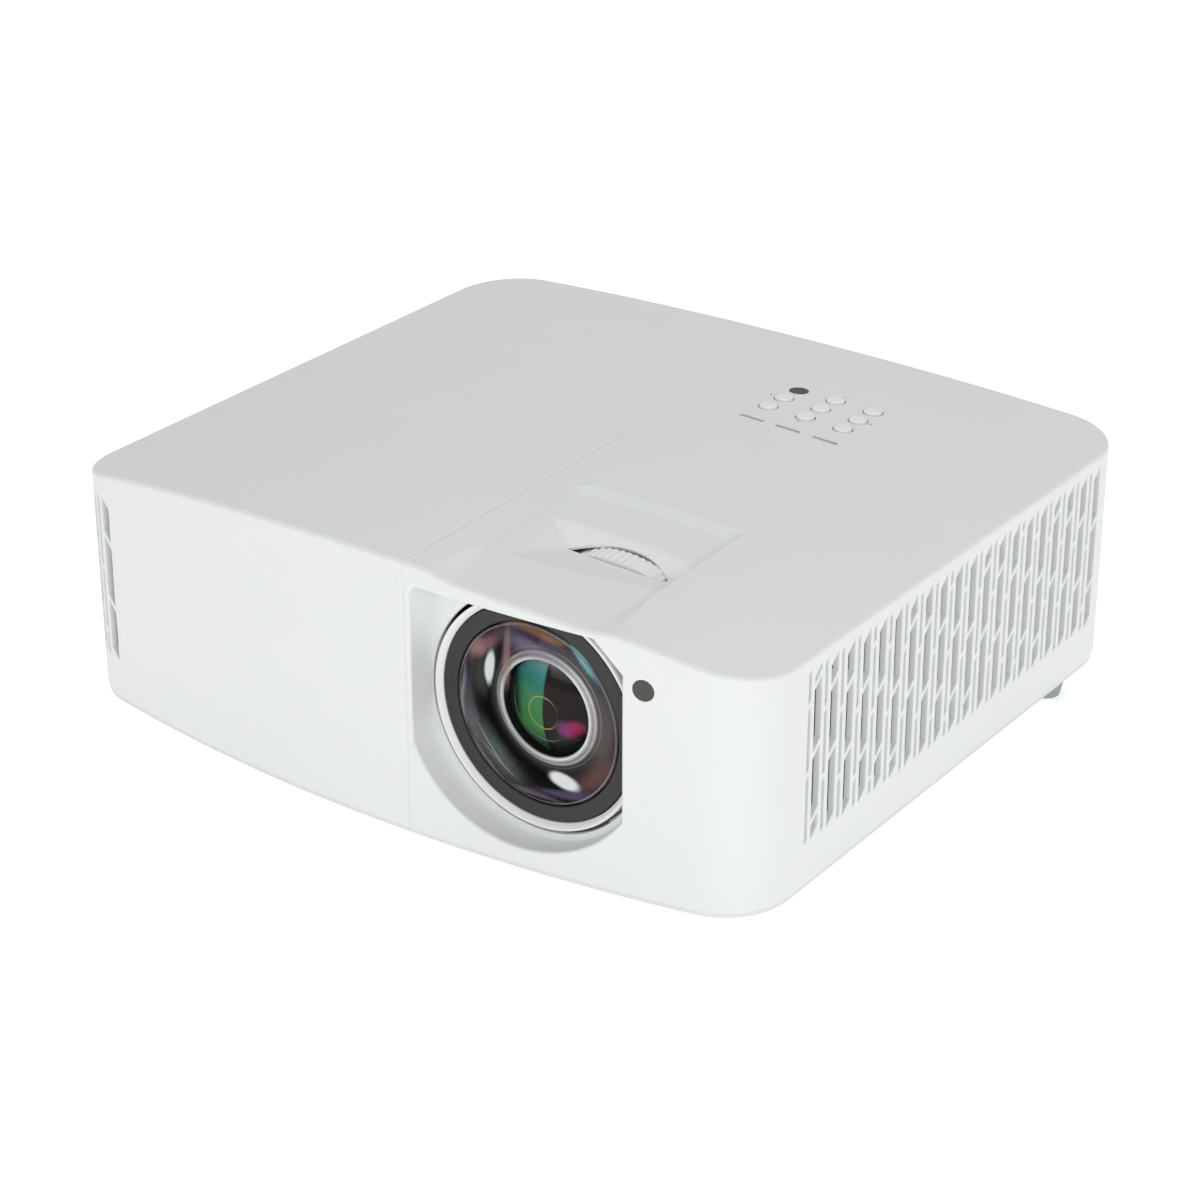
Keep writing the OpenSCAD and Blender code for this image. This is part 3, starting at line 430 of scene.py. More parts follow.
def add_sheet(skin, surface, border, holes, extra, lines=()):
    add_faces(skin, surface, *sheet_faces(border, holes, extra, lines))


def lip(skin, surface, loop, radius, depth, steps=3, along=None, draft=0.0):
    """A hole's rounded rim and inner wall. surface gives the place and normal of loop points grown by an
    offset. draft is how far the inner wall leans in over its depth."""
    out = loop_outward(loop)
    eps = 0.01
    edge, normal = surface(loop)
    beyond, _ = surface(loop + out * eps)
    outward = unit((beyond - edge) / eps)
    down = -normal if along is None else np.broadcast_to(np.array(along, float), normal.shape)
    depth = np.broadcast_to(np.asarray(depth, float), (len(loop),))[:, None]
    draft = np.broadcast_to(np.asarray(draft, float), (len(loop),))[:, None]
    lean = draft / float(np.mean(depth))
    rows = []
    for k in range(steps + 1):
        turn = 0.5 * math.pi * k / steps
        grown, n_here = surface(loop + out * radius * (1 - math.sin(turn)))
        sunk = down * radius * (1 - math.cos(turn))
        tilt = n_here * (math.cos(turn) + lean * math.sin(turn))
        rows.append((grown + sunk, tilt - outward * math.sin(turn)))
    rows.append((edge + down * depth - outward * draft, normal * lean - outward))
    skin.band(rows)


# ---------------------------------------------------------------- the case's shape
def case_segments():
    rest = math.pi / 2 - ARC_HALF
    return [
        ("line", (CORNER_X, HALF_D), (-CORNER_X, HALF_D)),
        ("arc", (-CORNER_X, REAR_CORNER_Y), CORNER_R, math.pi / 2, math.pi / 2),
        ("line", (-HALF_W, REAR_CORNER_Y), (-HALF_W, FRONT_CORNER_Y)),
        ("arc", (-CORNER_X, FRONT_CORNER_Y), CORNER_R, math.pi, rest),
        ("arc", (0.0, FRONT_ARC_CY), FRONT_ARC_R, 1.5 * math.pi - ARC_HALF, 2 * ARC_HALF),
        ("arc", (CORNER_X, FRONT_CORNER_Y), CORNER_R, 1.5 * math.pi + ARC_HALF, rest),
        ("line", (HALF_W, FRONT_CORNER_Y), (HALF_W, REAR_CORNER_Y)),
        ("arc", (CORNER_X, REAR_CORNER_Y), CORNER_R, 0.0, math.pi / 2),
    ]


SEGMENTS = case_segments()
LENGTHS = [math.dist(g[1], g[2]) if g[0] == "line" else g[2] * g[4] for g in SEGMENTS]
STARTS = np.concatenate([[0.0], np.cumsum(LENGTHS)])
AROUND = float(STARTS[-1])
REAR, REAR_LEFT, LEFT, FRONT_LEFT, FRONT, FRONT_RIGHT, RIGHT, REAR_RIGHT = range(8)


def outline(s):
    """Places and outward directions on the case's outline, s along it from the rear wall's right end."""
    s = np.clip(np.asarray(s, float), 0, AROUND)
    place, out = np.zeros((len(s), 2)), np.zeros((len(s), 2))
    for k, g in enumerate(SEGMENTS):
        on = (s >= STARTS[k] - 1e-9) & (s <= STARTS[k + 1] + 1e-9)
        run = s[on] - STARTS[k]
        if g[0] == "line":
            a, b = np.array(g[1]), np.array(g[2])
            way = (b - a) / LENGTHS[k]
            place[on] = a + run[:, None] * way
            out[on] = (way[1], -way[0])
        else:
            turn = g[3] + run / g[2]
            ray = np.stack([np.cos(turn), np.sin(turn)], 1)
            place[on] = np.array(g[1]) + g[2] * ray
            out[on] = ray
    return place, out


def s_front(x):
    """Outline length at a point of the front wall, by its x."""
    return STARTS[FRONT] + FRONT_ARC_R * (np.arcsin(np.asarray(x) / FRONT_ARC_R) + ARC_HALF)


def s_right(y):
    return STARTS[RIGHT] + (y - FRONT_CORNER_Y)


def s_left(y):
    return STARTS[LEFT] + (REAR_CORNER_Y - y)


def crown(x, y):
    u = x / HALF_W
    return EDGE_Z + (1 - 0.823 * u**2 - 0.177 * u**4) * (CROWN_MID - CROWN_FALL * y / HALF_D)


def seam_distance(x, y):
    """How far a point of the top or walls is outside the lamp cover; negative on the lamp cover."""
    across = (x - SEAM_X + SEAM_SLOPE * (y + HALF_D)) / math.hypot(1, SEAM_SLOPE)
    back = y - SEAM_Y
    return np.maximum(across, back)


def groove(x, y):
    return SEAM_DEPTH * np.clip(1 - np.abs(seam_distance(x, y)) / SEAM_HALF, 0, 1)


def soft_max(a, b, k):
    return 0.5 * (a + b + np.sqrt((a - b) ** 2 + k * k))


def soft_min(a, b, k):
    return -soft_max(-a, -b, k)


# Focus recess: a ledge, a steep face, a floor that rises to the front, and a facet at its left
RECESS_TURN = math.radians(5.0)
RECESS_X, RECESS_Y = 69.0, -81.0
RECESS_LEFT, RECESS_RIGHT, RECESS_BACK = -38.6, 26.2, 38.5
RECESS_FRONT = -46.0  # where the fine mesh of the recess starts
RECESS_CORNER = 6.0
LEDGE_DROP = 2.3
LIP_DROP, LIP_RUN = 0.5, 0.3  # small step down at the ledge's front edge
# Planes of its bottom: x, y and height of a point, slope to the right and to the rear
FLOOR_PLANE = (48.7, -83.7, 108.0, -0.03, -0.2)
FACE_PLANE = (30.4, -70.0, 113.2, -0.083, 0.2687)
FACET_PLANE = (30.5, -70.1, 113.2, -0.358, -0.0848)
FACE_BLEND, FACET_BLEND, LEDGE_BLEND = 0.7, 0.5, 0.2
RIGHT_LEAN = 0.028  # the right side leans a little more than the left one
SIDE_ROLL, BACK_ROLL = 1.7, 1.7  # widths of the soft slopes at the sides and the rear
SIDE_FADE, FADE_V = 0.45, -28.0  # how the side slopes widen towards the front, and from where


def recess_frame(x, y):
    """Across and along distances in the recess's own turned frame."""
    dx, dy = x - RECESS_X, y - RECESS_Y
    c, s = math.cos(RECESS_TURN), math.sin(RECESS_TURN)
    return dx * c + dy * s, -dx * s + dy * c


def from_recess(places):
    """The case's (x, y) of places given across and along the recess."""
    u, v = places[:, 0], places[:, 1]
    c, s = math.cos(RECESS_TURN), math.sin(RECESS_TURN)
    return np.stack([RECESS_X + u * c - v * s, RECESS_Y + u * s + v * c], 1)


def side_roll(v):
    return SIDE_ROLL + SIDE_FADE * np.maximum(FADE_V - v, 0)


def right_side(v):
    return RECESS_RIGHT + RIGHT_LEAN * (v + 40)


def ease(t):
    return t * t * (3 - 2 * t)


def recess_floor(x, y):
    """Height of the recess's bottom: three planes and the ledge, blended."""
    floor, face, facet = (z + right * (x - px) + rear * (y - py)
                          for px, py, z, right, rear in (FLOOR_PLANE, FACE_PLANE, FACET_PLANE))
    front = soft_max(soft_max(floor, face, FACE_BLEND), facet, FACET_BLEND)
    ledge = crown(x, y) - LEDGE_DROP
    ahead = np.clip((ledge - front - 0.1) / LIP_RUN, 0, 1)
    return soft_min(front, ledge, LEDGE_BLEND) - LIP_DROP * ease(ahead)


def recess_share(x, y):
    """1 inside the recess's walls, 0 outside, with a narrow slope between."""
    u, v = recess_frame(x, y)
    roll = side_roll(v)
    left = (u - RECESS_LEFT) / roll
    right = (right_side(v) - u) / roll
    back = (RECESS_BACK - v) / BACK_ROLL
    du = np.maximum(RECESS_CORNER - (u - RECESS_LEFT), 0)
    dv = np.maximum(RECESS_CORNER - (RECESS_BACK - v), 0)
    round_back = (RECESS_CORNER - np.hypot(du, dv)) / BACK_ROLL
    edge = np.minimum(np.minimum(left, right), back)
    edge = np.where((du > 0) & (dv > 0), np.minimum(edge, round_back), edge)
    t = np.clip(0.5 + edge, 0, 1)
    return 0.5 * (t + ease(t))


def recess_creases():
    """Lines along the recess's sides and rear edge, round the rear left corner."""
    lines = []
    straight = RECESS_BACK - RECESS_CORNER
    for f in (-0.62, -0.5, -0.3, -0.1, 0.1, 0.3, 0.5, 0.62):
        v = np.append(np.arange(-44.0, straight, 1.5), straight)
        left = np.stack([RECESS_LEFT + f * side_roll(v), v], 1)
        turn = np.linspace(math.pi, 0.5 * math.pi, 9)[1:]
        r = RECESS_CORNER - f * BACK_ROLL
        bend = np.stack([RECESS_LEFT + RECESS_CORNER + r * np.cos(turn), straight + r * np.sin(turn)], 1)
        top = RECESS_BACK - f * BACK_ROLL
        rear_end = right_side(top) - f * SIDE_ROLL
        rear = np.stack([np.linspace(bend[-1][0], rear_end, 42)[1:], np.full(41, top)], 1)
        v = v[v < top - 0.8][::-1]
        right = np.stack([right_side(v) - f * side_roll(v), v], 1)
        lines.append(from_recess(np.vstack([left, bend, rear, right])))
    return lines


def top_z(x, y):
    base = crown(x, y)
    sunk = soft_min(base, recess_floor(x, y), 0.3)
    share = recess_share(x, y)
    return base + (sunk - base) * share - groove(x, y)


def top_surface(places):
    x, y = places[:, 0], places[:, 1]
    h = 0.05
    dx = (top_z(x + h, y) - top_z(x - h, y)) / (2 * h)
    dy = (top_z(x, y + h) - top_z(x, y - h)) / (2 * h)
    return np.stack([x, y, top_z(x, y)], 1), unit(np.stack([-dx, -dy, np.ones_like(dx)], 1))


def wall_surface(places):
    """Wall points from (s, z), sunk in the joint line's groove."""
    s, z = places[:, 0], places[:, 1]
    flat, out = outline(s)
    h = 0.05
    sink, ahead, behind = (groove(*outline(at)[0].T) for at in (s, s + h, s - h))
    along = np.stack([-out[:, 1], out[:, 0]], 1)
    normal = unit(out + along * ((ahead - behind) / (2 * h))[:, None])
    flat = flat - out * sink[:, None]
    return np.hstack([flat, z[:, None]]), np.hstack([normal, np.zeros((len(s), 1))])


def edge_arc(s):
    """The top edge's rounding at each s: its end angle and the height where it leaves the wall."""
    place, out = outline(s)
    run = 0.3
    z0 = top_z(*(place - out * EDGE_R).T)
    z1 = top_z(*(place - out * (EDGE_R + run)).T)
    end = np.arctan2(1.0, (z1 - z0) / run)
    inner = place - out * (EDGE_R * (1 - np.cos(end)))[:, None]
    return end, top_z(inner[:, 0], inner[:, 1]) - EDGE_R * np.sin(end)


def outline_samples():
    """Lengths along the outline where the wall's rows have points: close on corners and at the joint line."""
    steps = {REAR: 14.0, LEFT: 12.0, RIGHT: 12.0, FRONT: 5.0}
    rows = []
    for k in range(8):
        count = max(2, int(round(LENGTHS[k] / steps.get(k, 1.6))))
        rows.append(np.linspace(STARTS[k], STARTS[k + 1], count + 1)[:-1])
    every = np.concatenate(rows)
    for middle in (SEAM_S_FRONT, SEAM_S_LEFT):
        every = every[np.abs(every - middle) > 1.8]
        every = np.concatenate([every, middle + np.array(SEAM_OFFSETS)])
    return np.sort(every)


def find_seam(d=0.0):
    """Where the line d outside the lamp cover's edge crosses the front wall's outline."""
    s0, s1 = float(s_front(0.0)), float(s_front(40.0))
    for _ in range(60):
        mid = 0.5 * (s0 + s1)
        low, here = (float(seam_distance(*outline([s])[0][0])) - d for s in (s0, mid))
        s0, s1 = (mid, s1) if low * here > 0 else (s0, mid)
    return 0.5 * (s0 + s1)


SEAM_S_FRONT = find_seam()
SEAM_S_LEFT = float(s_left(SEAM_Y))


# ---------------------------------------------------------------- vents
SLOT_EDGE, SLOT_DEPTH, SLOT_DRAFT = 0.42, 2.3, 0.45


def column_slots(i, phase):
    """Lower and upper middles of the slots in column i, parted by the slanted bridges."""
    kind = i % 2
    half = SLOT_WIDTH[kind] / 2
    first = BRIDGE_Z[kind] + phase - VENT_DROP * (i // 2)
    cuts = [first + VENT_ROW * m for m in range(-2, 10)]
    cuts = [z for z in cuts if VENT_Z0 + 7 < z < VENT_Z1 - 5]
    lows = [VENT_Z0 + half] + [z + BRIDGE / 2 for z in cuts]
    highs = [z - BRIDGE / 2 for z in cuts] + [VENT_Z1 - half]
    return list(zip(lows, highs))


def slot_loop(s, kind, low, high, rearward):
    """A slot's outline in (s, z): its ends rise towards the rear. rearward is +1 or -1, the way s runs."""
    half = SLOT_WIDTH[kind] / 2
    corners = [(-half, low - half), (half, low + half), (half, high + half), (-half, high - half)]
    return rounded([(s + rearward * y, z) for y, z in corners], 0.5 if kind else 0.35, 6.0, 3)


def vent_loops():
    loops = []
    for i in range(-2, 2 * VENT_PAIRS):
        reach = SLOT_WIDTH[i % 2] / 2 + 0.9
        y = VENT_FRONT_Y + i * VENT_PITCH / 2
        if GRILLE_Y0 + reach < y < GRILLE_Y1 - reach:
            loops += [slot_loop(s_right(y), i % 2, a, b, 1) for a, b in column_slots(i, 0.0)]
        y += LEFT_SHIFT
        for y0, y1 in ((GRILLE_LEFT_Y0, SEAM_Y - 3), (SEAM_Y + 3, GRILLE_Y1)):
            if y0 + reach < y < y1 - reach:
                loops += [slot_loop(s_left(y), i % 2, a, b, -1) for a, b in column_slots(i, LEFT_PHASE)]
    for j in range(3, 10):
        s = STARTS[FRONT_LEFT] + FRONT_CORNER_Y - VENT_FRONT_Y - LEFT_SHIFT + j * VENT_PITCH / 2
        loops += [slot_loop(s, j % 2, a, b, -1) for a, b in column_slots(-j, LEFT_PHASE)]
    return loops


# ---------------------------------------------------------------- covers
def window_loop(grow=0.0):
    """Lens window in (x, z): a circle cut off at both sides and the top, and at a slant at the top right."""
    cx, cz, r = WINDOW["cx"], WINDOW["cz"], WINDOW["r"] + grow
    left, right = WINDOW["left"] - grow, WINDOW["right"] + grow
    a0 = math.pi + math.asin(math.sqrt(r * r - (cx - left) ** 2) / r)
    a1 = 2 * math.pi - math.asin(math.sqrt(r * r - (right - cx) ** 2) / r)
    arc = np.linspace(a0, a1, 72)
    lower = np.stack([cx + r * np.cos(arc), cz + r * np.sin(arc)], 1)
    first, last = lower[0], lower[-1]
    slant = (right, WINDOW_SLANT["low"]), (WINDOW_SLANT["x"], WINDOW_SLANT["high"] + grow)
    corners = [tuple(last), *slant, (left, WINDOW["top"] + grow), tuple(first)]
    upper = rounded(corners, [0, 1.2, 2.0, 4.0, 0], 2.0, 6)
    upper = np.roll(upper, -int(np.argmin(np.linalg.norm(upper - last, axis=1))), 0)
    stop = int(np.argmin(np.linalg.norm(upper - first, axis=1)))
    apart = [p for p in upper[1:stop] if min(np.linalg.norm(p - first), np.linalg.norm(p - last)) > 0.6]
    return np.vstack([lower, apart])


def front_surface(places):
    """Front wall points by their (x, z)."""
    return wall_surface(np.stack([s_front(places[:, 0]), places[:, 1]], 1))


def front_hole(loop):
    return np.stack([s_front(loop[:, 0]), loop[:, 1]], 1)


def grow_loop(loop, by):
    return loop + loop_outward(loop) * by


def wheel_slot_loop():
    """Opening over the focus ring's rim: an arc behind it and a straight front edge."""
    cx, cy, r = 70.5, -101.5, 28.0
    y0, x1 = WHEEL_FRONT_Y - 0.5, 90.3
    a0 = math.atan2(math.sqrt(r * r - (x1 - cx) ** 2), x1 - cx)
    a1 = math.pi - math.asin((y0 - cy) / r)
    arc = np.linspace(a0, a1, 60)
    rear = np.stack([cx + r * np.cos(arc), cy + r * np.sin(arc)], 1)
    front = np.stack([np.linspace(rear[-1][0], x1, 44)[1:-1], np.full(42, y0)], 1)
    side = np.stack([np.full(4, x1), np.linspace(y0, rear[0][1], 5)[:-1]], 1)
    side[0] = (x1 - 0.3, y0 + 0.3)
    return np.vstack([rear, front, side])


def key_places():
    names = ["power", "menu", "source", "up", "down", "left", "right", "enter"]
    grid = [(-1, -1), (1, -1), (1, 1), (0, 1), (0, -1), (-1, 0), (1, 0), (0, 0)]
    return {n: (KEY_X + i * KEY_PITCH_X, KEY_Y + j * KEY_PITCH_Y) for n, (i, j) in zip(names, grid)}


def pipe_loops():
    loops = []
    for i in (-1, 0, 1):
        x = PIPE_X + i * PIPE_PITCH
        corners = [(x + a * PIPE_HALF_W, PIPE_Y + b * PIPE_HALF_D) for a, b in SQUARE]
        loops.append(rounded(corners, 0.25, 1.5, 2))
    return loops


def grid_points(x0, x1, y0, y1, step):
    gx, gy = np.meshgrid(np.arange(x0, x1 + step / 2, step), np.arange(y0, y1 + step / 2, step))
    return np.stack([gx.ravel(), gy.ravel()], 1)


def outside(points, holes):
    for hole in holes:
        points = points[~inside(points, hole)]
    return points


# Spacing of the top's loose mesh points, fine in the recess, and the area they cover
RECESS_STEP, TOP_STEP = 0.75, 6.5
TOP_AREA = (-155, 155, -143, 142)


def add_top_edge(skin, s, end, z_wall):
    """Rounding from the walls to the top. Returns its inner row, the top's border."""
    place, out = outline(s)
    rows = []
    for k in range(7):
        turn = end * k / 6
        flat = place - out * (EDGE_R * (1 - np.cos(turn)))[:, None]
        sink = groove(place[:, 0], place[:, 1]) * np.cos(turn)
        points = np.hstack([flat - out * sink[:, None], (z_wall + EDGE_R * np.sin(turn))[:, None]])
        rows.append((points, np.hstack([out * np.cos(turn)[:, None], np.sin(turn)[:, None]])))
    rows[-1] = (rows[-1][0], top_surface(rows[-1][0][:, :2])[1])
    rows[0] = (rows[0][0], wall_surface(np.stack([s, z_wall], 1))[1])
    skin.band(rows)
    return rows[-1][0][:, :2]


def add_low_edge(skin, s):
    """Rounding of the lower edge, and the underside to the covers' inner face."""
    place, out = outline(s)
    sides = np.ones((len(s), 1))
    rows = []
    for k in range(4):
        turn = 0.5 * math.pi * k / 3
        sink = FOOT_EDGE_R * (1 - math.cos(turn)) + groove(place[:, 0], place[:, 1])
        z = CASE_Z + FOOT_EDGE_R * (1 - math.sin(turn))
        rows.append((np.hstack([place - out * sink[:, None], sides * z]),
                     np.hstack([out * math.cos(turn), sides * -math.sin(turn)])))
    rows.append((np.hstack([place - out * WALL, sides * CASE_Z]), np.tile((0.0, 0.0, -1.0), (len(s), 1))))
    skin.band(rows)


def add_walls(skin, s, z_wall):
    """Walls with the vent slots, the lens window, the remote window's hole and the rear opening."""
    z_low = CASE_Z + FOOT_EDGE_R
    s_open = np.append(s, AROUND)
    top_row = np.stack([s_open, np.append(z_wall, z_wall[0])], 1)
    low_row = np.stack([s_open, np.full(len(s_open), z_low)], 1)
    border = np.vstack([low_row, top_row[::-1]])
    slots = vent_loops()
    window = window_loop()
    remote = circle(REMOTE_X, REMOTE_Z, REMOTE_HOLE_R, 40)
    w = REAR_HALF_W
    opening = rounded([(-w, REAR_Z0), (w, REAR_Z0), (w, REAR_Z1), (-w, REAR_Z1)], 2.0, 12.0, 5)
    opening = np.stack([CORNER_X - opening[:, 0], opening[:, 1]], 1)
    holes = [grow_loop(slot, SLOT_EDGE) for slot in slots]
    holes += [front_hole(grow_loop(window, WINDOW_EDGE)), front_hole(grow_loop(remote, REMOTE_LIP)),
              grow_loop(opening, REAR_LIP)]
    lines = []
    for middle in (SEAM_S_FRONT, SEAM_S_LEFT):
        for d in SEAM_OFFSETS:
            i = int(np.argmin(np.abs(s - middle - d)))
            lines.append(np.array([(s[i], z) for z in np.linspace(z_low, z_wall[i], 24)]))
    loose = []
    for k, step in ((REAR_LEFT, 2.2), (FRONT_LEFT, 2.2), (FRONT_RIGHT, 2.2), (REAR_RIGHT, 2.2), (FRONT, 8.0)):
        at = s[(s > STARTS[k]) & (s < STARTS[k + 1])]
        at = at[:: max(1, int(round(step / (at[1] - at[0]))))]
        zs = np.arange(z_low + step, 118, step * (1.0 if k == FRONT else 2.0))
        loose += [(a, z) for a in at for z in zs if z < np.interp(a, s_open, top_row[:, 1]) - 0.4 * step]
    loose = clear_of(outside(np.array(loose), holes), holes + [border] + lines, 0.9)
    add_sheet(skin, wall_surface, border, holes, loose, lines)
    for slot in slots:
        lip(skin, wall_surface, slot, SLOT_EDGE, SLOT_DEPTH, 3, None, SLOT_DRAFT)
    lip(skin, wall_surface, opening, REAR_LIP, WALL, 4)
    lip(skin, front_surface, remote, REMOTE_LIP, 2.0, 3)
    front_y = wall_surface(front_hole(window))[0][:, 1]
    gap = np.hypot(window[:, 0] - LENS_X, window[:, 1] - LENS_Z) - TRAY_HOLE_R
    depth = np.where(gap < -0.2, WALL, TRAY_Y - front_y)
    draft = WINDOW_DRAFT * np.clip((gap - 1.0) / 8, 0, 1)
    lip(skin, front_surface, window, WINDOW_EDGE, depth, 6, (0, 1, 0), draft)


def add_top(skin, border):
    """The crowned top with the focus recess and the holes for the keys, light pipes and wheel."""
    round_holes = [circle(x, y, KEY_R + 0.4, 36) for x, y in key_places().values()]
    round_holes.append(circle(TOP_REMOTE_X, TOP_REMOTE_Y, REMOTE_HOLE_R, 36))
    pipes = pipe_loops()
    wheel = wheel_slot_loop()
    holes = [grow_loop(hole, KEY_LIP) for hole in round_holes]
    holes += [grow_loop(pipe, PIPE_LIP) for pipe in pipes] + [grow_loop(wheel, WHEEL_LIP)]
    seam_rows = [seam_line(d, border) for d in SEAM_OFFSETS]
    dense = grid_points(RECESS_LEFT - 2.4, RECESS_RIGHT + 5, RECESS_FRONT, RECESS_BACK + 2.4, RECESS_STEP)
    u0, u1, v0, v1 = RECESS_LEFT - 3.4, RECESS_RIGHT + 6, RECESS_FRONT - 1, RECESS_BACK + 3.4
    region = from_recess(np.array([[u0, v0], [u1, v0], [u1, v1], [u0, v1]]))
    coarse = outside(grid_points(*TOP_AREA, TOP_STEP), [region])
    loose = np.vstack([from_recess(dense), coarse])
    loose = outside(loose[inside(loose, border)], holes)
    creases = recess_creases()
    loose = clear_of(clear_of(loose, holes + [border] + seam_rows, 0.5), creases, 0.25)
    add_sheet(skin, top_surface, border, holes, loose, seam_rows + creases)
    down = (0, 0, -1)
    for hole in round_holes:
        lip(skin, top_surface, hole, KEY_LIP, 2.4, 3, down)
    for pipe in pipes:
        lip(skin, top_surface, pipe, PIPE_LIP, 1.5, 2, down)
    lip(skin, top_surface, wheel, WHEEL_LIP, 1.0, 5, down)


def build_covers():
    skin = Skin()
    s = outline_samples()
    end, z_wall = edge_arc(s)
    border = add_top_edge(skin, s, end, z_wall)
    add_low_edge(skin, s)
    add_walls(skin, s, z_wall)
    add_top(skin, border)

    def on_lamp(middles):
        return seam_distance(middles[:, 0], middles[:, 1]) < 0

    def on_top(middles):
        return ~on_lamp(middles)

    skin.build("top_cover_shell", case_white, "case",
               ("top_cover", "vent_grille_right", "vent_grille_left_rear"), on_top)
    skin.build("lamp_cover_shell", case_white, "case",
               ("lamp_cover", "vent_grille_left_front"), on_lamp)


def seam_line(d, border):
    """The joint line on the top, d outside the lamp cover's edge, from the front edge to the left edge."""
    y1 = SEAM_Y + d
    front_end, left_end = (border_point(hit, border) for hit in (find_seam(d), float(s_left(y1))))
    side_y = np.linspace(front_end[1], y1, 60)[1:]
    side_x = SEAM_X - SEAM_SLOPE * (side_y + HALF_D) + d * math.hypot(1, SEAM_SLOPE)
    back_x = np.linspace(side_x[-1], left_end[0], 60)[1:-1]
    back = np.stack([back_x, np.full(len(back_x), y1)], 1)
    return np.vstack([front_end, np.stack([side_x, side_y], 1), back, left_end])


def border_point(s, border):
    """The point of the top's border nearest to outline length s."""
    place = outline([s])[0][0]
    return tuple(border[int(np.argmin(np.linalg.norm(border - place, axis=1)))])


# ---------------------------------------------------------------- turned pieces about the lens axis
def revolved(name, profile, row_at, material, body, replaced=(), capped=False):
    """A surface of revolution. Each run of the profile is smooth and holds (radius, height) points. row_at
    gives a row's points and normals from such a point and the run's direction there."""
    skin = Skin()
    for run in profile:
        run = np.array(run, float)
        ways = unit(np.gradient(run, axis=0))
        rows = skin.band([row_at(*point, *way) for point, way in zip(run, ways)])
        if capped and run[-1][0] < 0.2:
            skin.face(rows[-1])
    return skin.build(name, material, body, replaced)


def turned(name, profile, material, body, replaced=(), n=144, ribs=None):
    """Turned about the lens's axis from (radius, y) runs; ribs(radius, y, turn) may change the radius."""
    turn = np.linspace(0, 2 * math.pi, n, endpoint=False)
    c, s = np.cos(turn), np.sin(turn)

    def row_at(r, y, dr, dy):
        radius = np.full(n, r) if ribs is None else ribs(r, y, turn)
        closed = np.concatenate([radius[-1:], radius, radius[:1]])
        slope = np.gradient(closed)[1:-1] / (radius * (turn[1] - turn[0]))
        points = np.stack([LENS_X + radius * c, np.full(n, y), LENS_Z + radius * s], 1)
        return points, np.stack([-dy * c - dy * slope * s, np.full(n, dr), -dy * s + dy * slope * c], 1)

    return revolved(name, profile, row_at, material, body, replaced)


def arc_run(cr, cy, r, a0, a1, n=5):
    """Points of an arc in the (radius, y) plane, angles in degrees from the +radius direction."""
    turn = np.radians(np.linspace(a0, a1, n))
    return [(cr + r * math.cos(t), cy + r * math.sin(t)) for t in turn]


def dome(radius, sag, edge_y, inset, n):
    """A lens's front face from inset inside its edge to the axis, bulging forward by sag."""
    ball = (radius**2 + sag**2) / (2 * sag)
    top = math.degrees(math.asin((radius - inset) / ball))
    turn = np.radians(np.linspace(0.05, top, n))[::-1]
    return [(ball * math.sin(t), edge_y - sag + ball - ball * math.cos(t)) for t in turn]


def build_tray():
    """The plate round the focus ring, at the bottom of the lens window, and the bore through it."""
    skin = Skin()
    rim = 0.35
    hole, outer = (circle(LENS_X, LENS_Z, r, 144) for r in (TRAY_HOLE_R, TRAY_HOLE_R + rim))
    cut_right = WINDOW["right"] + 8
    border = np.array([(min(p[0], cut_right), p[1]) for p in grow_loop(window_loop(0.2), 0.6)])

    def flat(places):
        y = np.full(len(places), TRAY_Y)
        return np.stack([places[:, 0], y, places[:, 1]], 1), np.tile((0.0, -1.0, 0.0), (len(places), 1))

    places, faces = sheet_faces(border, [], outer)
    middles = places[faces].mean(1)
    keep = np.hypot(middles[:, 0] - LENS_X, middles[:, 1] - LENS_Z) > TRAY_HOLE_R + rim - 0.05
    add_faces(skin, flat, places, faces[keep])
    lip(skin, flat, hole, rim, 2.0, 4)

    def in_window(middles):
        return (middles[:, 1] < 0) & inside(middles[:, [0, 2]], border)

    return skin.build("lens_window_plate", case_white, "case", (), in_window)


RIBS, RIB_DEPTH = 90, 0.5


def ring_ribs(r, y, turn):
    """Axial grip ribs on the focus ring's rim, none elsewhere."""
    if r < WHEEL_R - 0.4 or not WHEEL_FRONT_Y < y < RING_REAR_Y:
        return np.full(len(turn), r)
    return r - RIB_DEPTH * (0.5 - 0.5 * np.cos(RIBS * turn))


